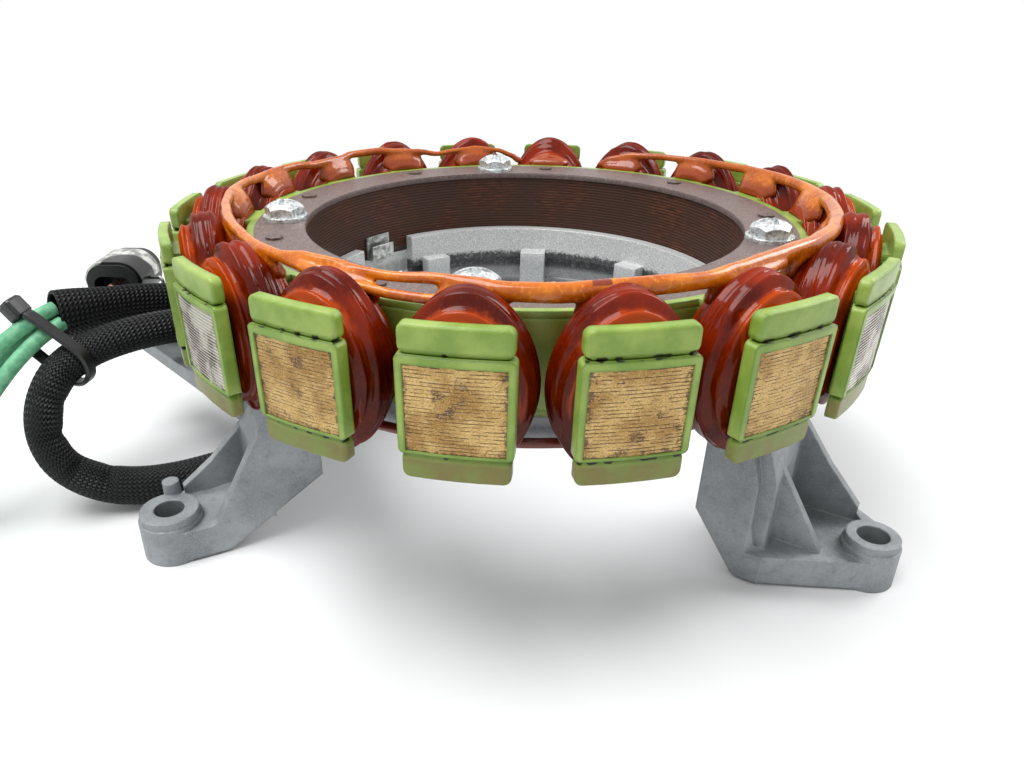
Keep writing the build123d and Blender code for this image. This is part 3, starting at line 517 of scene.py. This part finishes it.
def skin(rings, around, start=0):
    """Faces between neighbouring rings of points, numbered from start."""
    faces = []
    for low in range(start, start + (rings - 1) * around, around):
        high = low + around
        for step in range(around):
            after = (step + 1) % around
            faces.append((low + step, low + after, high + after, high + step))
    return faces


def caps(rings, around, start=0):
    """The faces that close the first and the last ring."""
    last = start + (rings - 1) * around
    return [tuple(reversed(range(start, start + around))), tuple(range(last, last + around))]


def signed_power(value, power):
    """A power of the value's size, with the value's sign: it makes an oval squarer or sharper."""
    return abs(value) ** power * (1 if value > 0 else -1)


def smooth(share):
    """The share eased at both ends."""
    return share * share * (3 - 2 * share)


def between(first, second, share):
    """Values at a share of the way from the first row to the second."""
    return [low + (high - low) * share for low, high in zip(first, second)]


def frames_along(points):
    """Tangent, side and upward direction at each point, with no twist."""
    frames = []
    side = None
    for index, point in enumerate(points):
        ahead = points[min(index + 1, len(points) - 1)]
        behind = points[max(index - 1, 0)]
        tangent = (ahead - behind).normalized()
        if side is None:
            side = tangent.cross(Vector((0, 0, 1))).normalized()
        side = (side - tangent * side.dot(tangent)).normalized()
        frames.append((tangent, side, tangent.cross(side)))
    return frames


def profile(rows, share):
    """Values from a table of rows, each a share and then the values there, joined smoothly."""
    for first, second in zip(rows, rows[1:]):
        if share <= second[0]:
            part = smooth((share - first[0]) / (second[0] - first[0]))
            return between(first[1:], second[1:], part)
    return rows[-1][1:]


# Coils: share of the length from the yoke, half width and rise over the end plate
barrel = (
    (0.0, 10.6, 1.4), (0.05, 12.0, 3.0), (0.24, 13.4, 4.2), (0.42, 14.6, 8.0), (0.72, 14.6, 8.0),
    (0.82, 13.4, 5.2), (0.86, 13.2, 4.8), (0.92, 13.5, 5.4), (1.0, 11.6, 3.2),
)
# Turns that stand out on each coil: pitch and depth in millimetres, and how far they slant
turns = {
    1: (4.6, 0.16, 1.6),
    2: (5.2, 0.12, -1.2),
    3: (5.0, 0.14, 1.0),
    4: (4.2, 0.3, -0.5),
    5: (3.2, 0.38, 0.6),
    6: (3.0, 0.4, -0.8),
    16: (2.4, 0.42, 0.4),
    17: (2.9, 0.4, 0.7),
    18: (3.6, 0.34, 0.9),
}
# Fine ripple of the wires, and the folds round the upper half: radius, spacing and width
fine_pitch = 0.93
fold_count = 3
first_fold = 85.6
fold_spacing = 3.4
fold_width = 0.75
# Gap beside a coil's neighbour and the tooth, greatest height, and share at the ends without turns
coil_gap = 0.3
coil_ceiling = 91.35
coil_end_inset = 0.1
coil_end_fade = 0.08
coil_power = 2 / 1.85
tooth_half_width = 6.1
tooth_power = 0.3


def turn_height(number, reach, angle):
    """How far the turns and folds of a coil stand over its smooth barrel, in millimetres."""
    pitch, depth, slant = turns.get(number, (2.2, 0.34, 0.6 * (-1) ** number))
    around = Vector((cos(angle), sin(angle), 0.0))
    drift = noise.noise(Vector((number * 7.3, reach * 0.12, 0.0)) + around * 0.8)
    line = reach + slant * sin(angle + number) + 1.3 * drift
    wave = 0.5 + 0.5 * cos(tau * line / pitch)
    patch = 0.5 + 0.5 * noise.noise(Vector((number * 3.1 + 5.0, reach * 0.2, 1.7)) + around * 1.3)
    height = depth * (wave**1.6 - 0.5) * (0.4 + 1.2 * patch)
    height += 0.04 * cos(tau * line / fine_pitch)
    for fold in range(fold_count):
        middle = first_fold + fold_spacing * fold
        middle += 1.6 * noise.noise(Vector((number * 1.9, fold * 4.7, 0.0)))
        middle += (1.8 - 0.8 * fold) * sin(angle * (1 + fold % 2) + number * 2.4 + fold)
        height += 0.34 * exp(-(((reach - middle) / fold_width) ** 2)) * (0.5 + patch)
    return height


def coil_piece(number, rings=72, around=112):
    """One coil's barrel of varnished turns, whose ends run in to the tooth."""
    azimuth = radians(pole_azimuth(number))
    outward = Vector((cos(azimuth), sin(azimuth), 0.0))
    sideways = Vector((-sin(azimuth), cos(azimuth), 0.0))
    length = coil_outer_radius - coil_inner_radius - 2 * coil_end_inset
    vertices = []
    for ring in range(-1, rings + 1):
        share = min(max(ring / (rings - 1), 0.0), 1.0)
        reach = coil_inner_radius + coil_end_inset + length * share
        if 0 <= ring < rings:
            half_width, rise = profile(barrel, share)
            half_width = min(half_width, reach * tan(radians(pole_pitch / 2)) - coil_gap)
            half_height = stack_half + rise
            power = coil_power
            swell = min(share, 1 - share, coil_end_fade) / coil_end_fade
        else:
            half_width = tooth_half_width
            half_height = stack_half + coil_gap
            power = tooth_power
            swell = 0.0
        for step in range(around):
            angle = tau * step / around
            across = signed_power(cos(angle), power)
            upwards = signed_power(sin(angle), power)
            size = hypot(half_width * across, half_height * upwards)
            grown = 1 + swell * turn_height(number, reach, angle) / size
            level = min(stack_middle + half_height * upwards * grown, coil_ceiling)
            flat = outward * reach + sideways * half_width * across * grown
            vertices.append(flat + Vector((0, 0, level)))
    faces = skin(rings + 2, around)
    piece = add_piece(f"coil_turns_{number:02d}", vertices, faces, coil_varnish)
    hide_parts(f"coil_{number:02d}")


for number in range(1, pole_count + 1):
    coil_piece(number)

# Lead ring: strands as rows of azimuth, radius, height and half thickness
main_strand = (
    (66.5, 81.2, 83.6, 1.1), (62.9, 81.5, 86.2, 1.2), (57.5, 81.5, 88.0, 1.2),
    (47.9, 81.3, 88.8, 1.2), (34.8, 82.0, 89.2, 1.3), (24.4, 83.2, 89.4, 1.4),
    (13.9, 84.2, 89.4, 1.6), (5.0, 84.8, 89.2, 1.7), (-4.0, 84.8, 89.2, 1.8),
    (-15.9, 84.0, 89.0, 2.0), (-26.0, 83.2, 89.0, 2.0), (-36.4, 81.8, 89.0, 2.1),
    (-46.5, 80.5, 89.2, 2.1), (-53.6, 80.4, 89.3, 1.9), (-60.0, 81.2, 89.1, 1.8),
    (-66.0, 82.2, 88.6, 1.9), (-73.5, 82.0, 88.8, 2.1), (-80.0, 82.1, 88.8, 2.1),
    (-88.0, 82.8, 88.5, 2.2), (-95.0, 82.6, 88.6, 2.1), (-101.0, 81.3, 89.2, 1.8),
    (-105.5, 80.4, 89.6, 1.3), (-112.8, 81.3, 89.3, 1.2), (-117.2, 81.0, 89.3, 1.3),
    (-122.5, 80.3, 89.6, 1.3), (-128.5, 80.8, 89.5, 1.5), (-134.0, 82.2, 88.7, 1.5),
    (-142.0, 82.0, 88.6, 1.4), (-150.0, 81.7, 88.9, 1.5), (-157.0, 81.9, 89.0, 1.5),
    (-164.6, 82.3, 89.2, 1.5), (-172.0, 83.2, 89.5, 1.4), (-180.5, 84.2, 89.7, 1.4),
    (-188.0, 84.6, 89.6, 1.3), (-194.0, 84.6, 89.3, 1.4), (-202.0, 84.3, 89.6, 1.3),
    (-208.0, 83.6, 89.6, 1.4), (-213.0, 81.8, 89.0, 1.3), (-221.5, 82.2, 89.2, 1.2),
    (-226.0, 83.4, 89.8, 1.3), (-233.0, 83.4, 89.8, 1.3), (-239.3, 81.6, 89.0, 1.3),
    (-244.5, 80.8, 88.6, 1.1), (-249.5, 80.7, 87.4, 1.0), (-256.0, 81.4, 88.2, 0.9),
    (-260.1, 81.6, 88.8, 0.9), (-266.8, 81.0, 87.8, 0.9), (-269.1, 81.0, 86.4, 1.0),
    (-272.8, 81.0, 83.8, 1.2),
)
lower_strand = (
    (-98.0, 83.6, 87.6, 1.1), (-102.0, 84.4, 86.9, 1.2), (-106.3, 84.3, 86.6, 1.2),
    (-110.5, 84.2, 86.7, 1.2), (-114.0, 84.0, 86.9, 1.2), (-118.0, 83.6, 87.2, 1.2),
    (-122.5, 83.3, 87.5, 1.2), (-126.0, 82.9, 87.9, 1.3), (-130.5, 82.4, 88.3, 1.3),
    (-135.0, 82.2, 88.6, 1.2),
)
side_strand = (
    (-49.0, 82.2, 88.2, 1.2), (-54.0, 82.6, 87.9, 1.1), (-59.0, 82.9, 87.6, 1.2),
    (-64.0, 82.6, 88.0, 1.3), (-69.0, 82.2, 88.4, 1.3),
)
# Radius and height where the main strand has its gap
gap_place = (81.3, 86.0)
# Saddle of varnish over the back of each coil: turn from its middle, drop, half thickness
saddle_points = (
    (5.3, 5.6, 0.9), (4.9, 4.0, 1.2), (4.0, 2.4, 1.5), (2.2, 1.5, 1.7), (0.0, 1.3, 1.8),
    (-2.2, 1.5, 1.7), (-4.0, 2.4, 1.5), (-4.9, 4.0, 1.2), (-5.3, 5.6, 0.9),
)
# Its three strands, from the ring down the coil's back: how far inward, how far down, how thick
saddle_strands = ((0.0, 0.0, 1.0), (0.9, 1.6, 1.1), (1.7, 3.3, 1.1))
saddle_taper = 0.07
saddle_radius = 82.2
saddle_floor = 83.4
ring_voxel = 0.55


def strand_tube(strand, vertices, faces, around=14, turn_step=1.2, rise_step=0.8):
    """Adds a round tube along a strand, in steps of about these degrees and millimetres."""
    places = []
    for first, second in zip(strand, strand[1:]):
        turned = abs(second[0] - first[0])
        risen = abs(second[2] - first[2])
        count = max(2, round(turned / turn_step), round(risen / rise_step))
        for step in range(count):
            share = step / count
            azimuth = first[0] + (second[0] - first[0]) * share
            radius, height, half = between(first[1:], second[1:], smooth(share))
            places.append((polar(radius, azimuth, height), half))
    azimuth, radius, height, half = strand[-1]
    places.append((polar(radius, azimuth, height), half))
    points = [point for point, half in places]
    start = len(vertices)
    for (point, half), (tangent, side, up) in zip(places, frames_along(points)):
        for step in range(around):
            angle = tau * step / around
            vertices.append(point + side * half * cos(angle) + up * half * sin(angle))
    faces += skin(len(places), around, start)
    faces += caps(len(places), around, start)


def strand_at(azimuth):
    """Radius and height of the main strand at an azimuth."""
    turned = azimuth if azimuth <= main_strand[0][0] else azimuth - 360
    for first, second in zip(main_strand, main_strand[1:]):
        if second[0] <= turned <= first[0]:
            share = (first[0] - turned) / (first[0] - second[0])
            return between(first[1:3], second[1:3], share)
    return gap_place


def lead_ring_piece():
    """Ring of strands and saddles, melted into one varnished body."""
    vertices = []
    faces = []
    for strand in (main_strand, lower_strand, side_strand):
        strand_tube(strand, vertices, faces)
    for number in range(1, pole_count + 1):
        azimuth = pole_azimuth(number)
        drift = noise.noise(Vector((number * 2.7, 3.3, 0.0)))
        for row, (inward, drop, thick) in enumerate(saddle_strands):
            saddle = []
            for turn, below, half in saddle_points:
                turned = azimuth + turn * (1 - saddle_taper * row) + drift
                near_radius, near_height = strand_at(turned)
                radius = 0.5 * (near_radius + saddle_radius) - inward
                height = max(near_height - below - drop, saddle_floor)
                saddle.append((turned, radius, height, half * thick))
            strand_tube(saddle, vertices, faces)
    rough = add_piece("lead_ring_rough", vertices, faces, ring_varnish)
    melt = rough.modifiers.new("melt", "REMESH")
    melt.mode = "VOXEL"
    melt.voxel_size = ring_voxel * mm
    soften = rough.modifiers.new("soften", "SMOOTH")
    soften.factor = 0.5
    soften.iterations = 5
    graph = bpy.context.evaluated_depsgraph_get()
    mesh = bpy.data.meshes.new_from_object(rough.evaluated_get(graph))
    bpy.data.objects.remove(rough)
    mesh.name = "lead_ring_varnish"
    mesh.polygons.foreach_set("use_smooth", [True] * len(mesh.polygons))
    piece = new_object("lead_ring_varnish", mesh)
    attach(piece, "root")
    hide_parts("lead_ring")


lead_ring_piece()


def register_foot(stations=60):
    """Rough rim under the skirt, on the side that shows through the bore."""
    first_azimuth = 48.0
    turn = 66.0
    inner = 61.5
    outer = 66.8
    top = skirt_bottom + 0.2
    bottom = 43.15
    corner = 0.6
    section = (
        (inner, top), (inner, bottom + corner), (inner + corner, bottom),
        (outer - corner, bottom), (outer, bottom + corner), (outer, top),
    )
    vertices = []
    for station in range(stations):
        azimuth = first_azimuth + turn * station / (stations - 1)
        for index, (radius, height) in enumerate(section):
            rough = 0.18 * noise.noise(Vector((azimuth * 0.9, index * 3.1, 0.0)))
            vertices.append(polar(radius + rough, azimuth, height + 0.5 * rough))
    faces = skin(stations, len(section)) + caps(stations, len(section))
    piece = add_piece("register_foot", vertices, faces, casting)


register_foot()

# Harness routes, as the solids have them
sleeve_long_route = [
    (-60.0, 24.0, 38.0), (-72.0, 24.0, 38.0), (-84.0, 20.7, 41.4), (-95.2, 13.6, 45.6),
    (-105.6, 3.9, 47.7), (-114.5, -4.8, 49.2), (-123.0, -11.7, 48.8), (-130.4, -17.4, 47.0),
    (-136.1, -23.4, 43.2), (-138.7, -28.9, 37.5), (-139.6, -32.3, 31.5), (-139.3, -33.8, 24.8),
    (-137.0, -34.2, 18.2), (-131.6, -32.6, 12.0), (-123.3, -30.3, 7.7), (-112.5, -27.5, 6.5),
    (-100.0, -22.5, 6.5), (-89.5, -15.0, 6.5),
]
sleeve_short_route = [
    (-60.0, 39.0, 38.0), (-72.0, 39.0, 38.0), (-84.4, 36.4, 41.0), (-97.0, 30.2, 45.8),
    (-108.8, 20.6, 50.0), (-119.4, 9.9, 52.8), (-128.6, -0.4, 55.0), (-138.5, -13.0, 56.5),
]
wire_routes = [
    [
        (-138.2, -12.5, 58.8), (-140.6, -16.2, 58.3), (-144.2, -20.8, 56.1), (-150.4, -25.3, 51.8),
        (-158.6, -28.0, 46.0), (-167.2, -31.0, 38.6), (-173.5, -36.0, 29.2), (-176.4, -42.8, 19.4),
        (-174.6, -51.2, 10.6), (-170.6, -59.6, 5.0), (-167.2, -66.8, 2.4), (-165.0, -73.6, 2.15),
        (-165.0, -80.0, 2.15),
    ],
    [
        (-136.3, -14.0, 54.8), (-138.0, -17.4, 54.1), (-141.4, -22.2, 51.8), (-146.3, -27.2, 47.0),
        (-150.8, -31.4, 41.4), (-156.0, -35.5, 34.6), (-161.2, -40.6, 26.6), (-164.8, -46.9, 18.0),
        (-165.8, -53.4, 10.2), (-163.2, -60.4, 5.0), (-161.2, -67.2, 2.4), (-159.8, -73.8, 2.15),
        (-159.8, -80.0, 2.15),
    ],
    [
        (-140.0, -11.0, 54.8), (-143.0, -15.2, 54.0), (-147.6, -19.6, 50.6), (-153.6, -23.2, 44.0),
        (-162.2, -26.4, 36.8), (-171.2, -30.6, 28.4), (-178.2, -37.0, 19.8), (-181.6, -45.4, 11.6),
        (-180.6, -53.4, 5.8), (-176.6, -60.6, 2.8), (-172.2, -67.4, 2.15), (-170.2, -74.0, 2.15),
        (-170.2, -80.0, 2.15),
    ],
]
wire_radius = 2.15
# How large the inside of an open mouth is, and how deep the grooves of the braid are
mouth_share = 0.9
braid_depth = 0.22


def route_curve(name, route):
    """A curve of one open spline with the route's points as its control points."""
    data = bpy.data.curves.new(name, "CURVE")
    data.dimensions = "3D"
    data.resolution_u = 12
    spline = data.splines.new("NURBS")
    spline.points.add(len(route) - 1)
    for point, place in zip(spline.points, route):
        point.co = (*(Vector(place) * mm), 1.0)
    spline.order_u = 3
    spline.use_endpoint_u = True
    return new_object(name, data)


def route_points(name, route):
    """Points read from the route's smooth spline, in millimetres."""
    curve = route_curve(name + "_line", route)
    bpy.context.view_layer.update()
    mesh = bpy.data.meshes.new_from_object(curve)
    points = [vertex.co / mm for vertex in mesh.vertices]
    data = curve.data
    bpy.data.objects.remove(curve)
    bpy.data.curves.remove(data)
    bpy.data.meshes.remove(mesh)
    return points


def distances(points):
    """How far along a line each of its points is."""
    reach = [0.0]
    for first, second in zip(points, points[1:]):
        reach.append(reach[-1] + (second - first).length)
    return reach


def evenly(points, count):
    """The same line with evenly spaced points."""
    reach = distances(points)
    out = []
    segment = 0
    for step in range(count):
        target = reach[-1] * step / (count - 1)
        while segment < len(points) - 2 and reach[segment + 1] < target:
            segment += 1
        span = reach[segment + 1] - reach[segment]
        share = (target - reach[segment]) / span if span else 0.0
        out.append(points[segment].lerp(points[segment + 1], min(max(share, 0.0), 1.0)))
    return out


def tube_piece(name, points, around, section, material, uv_scale, mouth_depth):
    """Tube whose section(share, angle) gives the offsets to the side and upwards, in millimetres.

    Its far end is open for mouth_depth of the points, or closed where that is 0.
    """
    vertices = []
    uv = []
    frames = frames_along(points)
    count = len(points)
    for index, (point, (tangent, side, up)) in enumerate(zip(points, frames)):
        for step in range(around):
            sideways, upwards = section(index / (count - 1), tau * step / around)
            vertices.append(point + side * sideways + up * upwards)
    for index in range(count - 1):
        near, far = index / (count - 1) * uv_scale[1], (index + 1) / (count - 1) * uv_scale[1]
        for step in range(around):
            left, right = step / around * uv_scale[0], (step + 1) / around * uv_scale[0]
            uv += [(left, near), (right, near), (right, far), (left, far)]
    mouth = range(0, mouth_depth + 1, 3) if mouth_depth else ()
    for back in mouth:
        tangent, side, up = frames[-1 - back]
        for step in range(around):
            sideways, upwards = section(1 - back / (count - 1), tau * step / around)
            vertices.append(points[-1 - back] + (side * sideways + up * upwards) * mouth_share)
    rings = count + len(mouth)
    faces = skin(rings, around) + caps(rings, around)
    # The mouth's inside and the two end faces have no braid
    uv += [(0, 0)] * (around * (4 * len(mouth) + 2))
    return add_piece(name, vertices, faces, material, uv)


def braid_height(around, along):
    """1 on the back of a filament and 0 between two, in cells of the braid."""
    first = around + along
    second = around - along
    if (floor(first) + floor(second)) % 2:
        return sin(pi * (first - floor(first)))
    return sin(pi * (second - floor(second)))


def braided_sleeve(name, route, section, cells_around=28, cell_length=1.5, mouth_depth=0):
    """Braided sleeve with its filaments raised, along a route, and the points that it follows."""
    line = route_points(name, route)
    cells_along = round(distances(line)[-1] / cell_length)
    points = evenly(line, cells_along * 4 + 1)

    def braided(share, angle):
        sideways, upwards = section(share, angle)
        sunk = braid_depth * (braid_height(angle / tau * cells_around, share * cells_along) - 1)
        grown = 1 + sunk / hypot(sideways, upwards)
        return sideways * grown, upwards * grown

    scale = (cells_around, cells_along)
    piece = tube_piece(name + "_braid", points, cells_around * 4, braided, braid, scale, mouth_depth)
    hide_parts(name)
    return piece, points


# Radius of the long sleeve along its length
sleeve_girth = ((0.0, 6.3), (0.1, 6.1), (0.3, 5.3), (0.5, 5.2), (0.66, 5.1), (0.8, 6.0), (1.0, 6.4))
# Creases on the inside of its bend: share of the length, depth and direction
sleeve_creases = (
    (0.52, 0.1, 0.3), (0.575, 0.16, 0.1), (0.64, 0.2, -0.2), (0.71, 0.2, 0.2), (0.77, 0.16, 0.0),
)
crease_width = 0.012
# Half width and half height of the short sleeve along its length
short_girth = ((0.0, 5.2, 5.2), (0.45, 4.6, 5.2), (0.8, 3.5, 6.6), (1.0, 4.3, 8.2))


def long_section(share, angle):
    """Offsets to the side and upwards of the long sleeve's creased round section."""
    radius = profile(sleeve_girth, share)[0]
    for middle, depth, direction in sleeve_creases:
        facing = max(-cos(angle - direction), 0.0)
        radius *= 1 - depth * facing * exp(-(((share - middle) / crease_width) ** 2))
    return radius * cos(angle), radius * sin(angle)


def short_section(share, angle):
    """Offsets to the side and upwards of the short sleeve's oval section."""
    half_width, half_height = profile(short_girth, share)
    return half_width * cos(angle), half_height * sin(angle)


# Cable tie: a point of its tilted plane, and the directions of its long and short side there
tie_middle = Vector((-138.5, -19.5, 49.6))
tie_long = Vector((-0.59, 0.08, 0.80)).normalized()
tie_short = Vector((-0.763, 0.287, -0.593)).normalized()
tie_width = 3.8
tie_thickness = 1.2
tie_clearance = 0.7
tied_sleeve_radius = 5.7


def crossing(points, origin, normal):
    """Where a line of points goes through a plane."""
    for first, second in zip(points, points[1:]):
        before = (first - origin).dot(normal)
        after = (second - origin).dot(normal)
        if before * after <= 0 and before != after:
            return first.lerp(second, before / (before - after))
    raise ValueError("the line misses the plane")


def turns_left(first, second, third):
    """Whether three flat points turn to the left."""
    ahead = (second[0] - first[0]) * (third[1] - first[1])
    aside = (second[1] - first[1]) * (third[0] - first[0])
    return ahead - aside > 0


def hull(points):
    """Corners of the smallest outline round flat points, in order."""
    points = sorted(points)
    chains = []
    for run in (points, points[::-1]):
        chain = []
        for point in run:
            while len(chain) > 1 and not turns_left(chain[-2], chain[-1], point):
                chain.pop()
            chain.append(point)
        chains.append(chain[:-1])
    return chains[0] + chains[1]


def cable_tie_piece(sleeve_points, stations=120, smoothings=6, round_steps=48, head_around=16):
    """Loop of strap round the sleeve and the wires, with its head at the wires' side."""
    normal = tie_long.cross(tie_short).normalized()
    across = normal.cross(tie_long)

    def placed(along, aside, lift):
        """A point from its place in the tie's plane and its height over that plane."""
        return tie_middle + tie_long * along + across * aside + normal * lift

    bundle = [(sleeve_points, tied_sleeve_radius)]
    for index, route in enumerate(wire_routes):
        bundle.append((route_points(f"tie_{index}", route), wire_radius))
    rounds = []
    for points, radius in bundle:
        offset = crossing(points, tie_middle, normal) - tie_middle
        reach = radius + tie_clearance
        for step in range(round_steps):
            angle = tau * step / round_steps
            along = offset.dot(tie_long) + reach * cos(angle)
            rounds.append((along, offset.dot(across) + reach * sin(angle)))
    corners = [Vector((*corner, 0.0)) for corner in hull(rounds)]
    loop = evenly(corners + corners[:1], stations + 1)[:-1]
    for smoothing in range(smoothings):
        loop = [
            (loop[index - 1] + loop[index] * 2 + loop[(index + 1) % stations]) / 4
            for index in range(stations)
        ]
    middle = sum(loop, Vector()) / stations

    # The strap, as rise over the loop and side along the normal
    half = tie_width / 2
    section = (
        (0.0, -half), (0.0, half), (0.4, half),
        (tie_thickness, half - 0.5), (tie_thickness, 0.5 - half), (0.4, -half),
    )
    vertices = []
    for index, place in enumerate(loop):
        ahead = loop[(index + 1) % stations] - loop[index - 1]
        outward = Vector((ahead.y, -ahead.x, 0.0)).normalized()
        if outward.dot(place - middle) < 0:
            outward = -outward
        for rise, side in section:
            flat = place + outward * rise
            vertices.append(placed(flat.x, flat.y, side))
    strap_end = len(vertices)
    faces = [tuple(corner % strap_end for corner in face) for face in skin(stations + 1, len(section))]

    # The head, as levels along the long side with their size
    head = max(loop, key=lambda place: place.x)
    levels = ((-0.6, 0.82), (0.0, 1.0), (4.4, 1.0), (5.2, 0.8))
    for along, size in levels:
        for step in range(head_around):
            angle = tau * step / head_around
            wide = 3.1 * size * signed_power(cos(angle), 0.5)
            deep = 2.9 * size * signed_power(sin(angle), 0.5)
            vertices.append(placed(head.x + along, head.y + deep, wide))
    faces += skin(len(levels), head_around, strap_end) + caps(len(levels), head_around, strap_end)
    piece = add_piece("cable_tie_strap", vertices, faces, nylon)
    piece.data.polygons.foreach_set("use_smooth", [False] * len(piece.data.polygons))
    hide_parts("cable_tie")
    return piece


long_sleeve, long_points = braided_sleeve("sleeve_long", sleeve_long_route, long_section)
cable_tie_piece(long_points)
short_sleeve, short_points = braided_sleeve(
    "sleeve_short", sleeve_short_route, short_section, mouth_depth=9
)
wire_lengths = (0.110, 0.097, 0.110)
for number, (route, wire_length) in enumerate(zip(wire_routes, wire_lengths), start=1):
    wire = route_curve(f"lead_wire_{number}", route)
    wire.data.bevel_depth = wire_radius * mm
    wire.data.bevel_resolution = 6
    wire.data.use_fill_caps = True
    wire.data.materials.append(wire_green)
    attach(wire, "root")
    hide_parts(f"green_wire_{number}")


def floor_material():
    """Pale floor that keeps the shadow near the part and glows white away from it, to the camera."""
    g = Graph("floor", Roughness=0.8, Specular_IOR_Level=0.2, Emission_Color=(0.955, 0.96, 0.96, 1))
    away = g.steps(g.radius(g.place()), 190.0, 520.0)
    seen = g.times(away, g.node("ShaderNodeLightPath", {}, "Is Camera Ray"))
    tone = g.mix(seen, (0.80, 0.81, 0.815, 1), (0, 0, 0, 1))
    return g.finish(Base_Color=tone, Emission_Strength=seen)


def lay_floor():
    """The plain floor under the feet."""
    mesh = bpy.data.meshes.new("floor")
    mesh.from_pydata([(-6, -3, 0), (6, -3, 0), (6, 9, 0), (-6, 9, 0)], [], [(0, 1, 2, 3)])
    mesh.materials.append(floor_material())
    new_object("floor", mesh)


def hang_world():
    """White world that lights the part less than it shows to the camera, metal and glass."""
    world = bpy.data.worlds.new("studio")
    bpy.context.scene.world = world
    world.use_nodes = True
    tree = world.node_tree
    ray = tree.nodes.new("ShaderNodeLightPath").outputs
    seen = ray["Is Camera Ray"]
    for kind in ("Is Glossy Ray", "Is Transmission Ray"):
        either = tree.nodes.new("ShaderNodeMath")
        either.operation = "MAXIMUM"
        tree.links.new(seen, either.inputs[0])
        tree.links.new(ray[kind], either.inputs[1])
        seen = either.outputs[0]
    level = tree.nodes.new("ShaderNodeMapRange")
    level.inputs["To Min"].default_value = 0.55
    level.inputs["To Max"].default_value = 1.0
    tree.links.new(seen, level.inputs["Value"])
    background = tree.nodes["Background"]
    background.inputs["Color"].default_value = (1, 1, 1, 1)
    tree.links.new(level.outputs[0], background.inputs["Strength"])


def soft_lamp(name, place, size, power, aim=Vector((0, 0, 0.05))):
    """A rectangular lamp that faces the middle of the part."""
    data = bpy.data.lights.new(name, "AREA")
    data.shape = "RECTANGLE"
    data.size, data.size_y = size
    data.energy = power
    lamp = new_object(name, data)
    lamp.location = place
    lamp.rotation_euler = (aim - lamp.location).to_track_quat("-Z", "Y").to_euler()


lay_floor()
hang_world()
soft_lamp("key", (-0.3, -0.1, 0.8), (0.7, 0.45), 8)
soft_lamp("fill", (0.65, 0.25, 0.6), (0.4, 0.4), 4)
bpy.context.scene.view_settings.view_transform = "Standard"
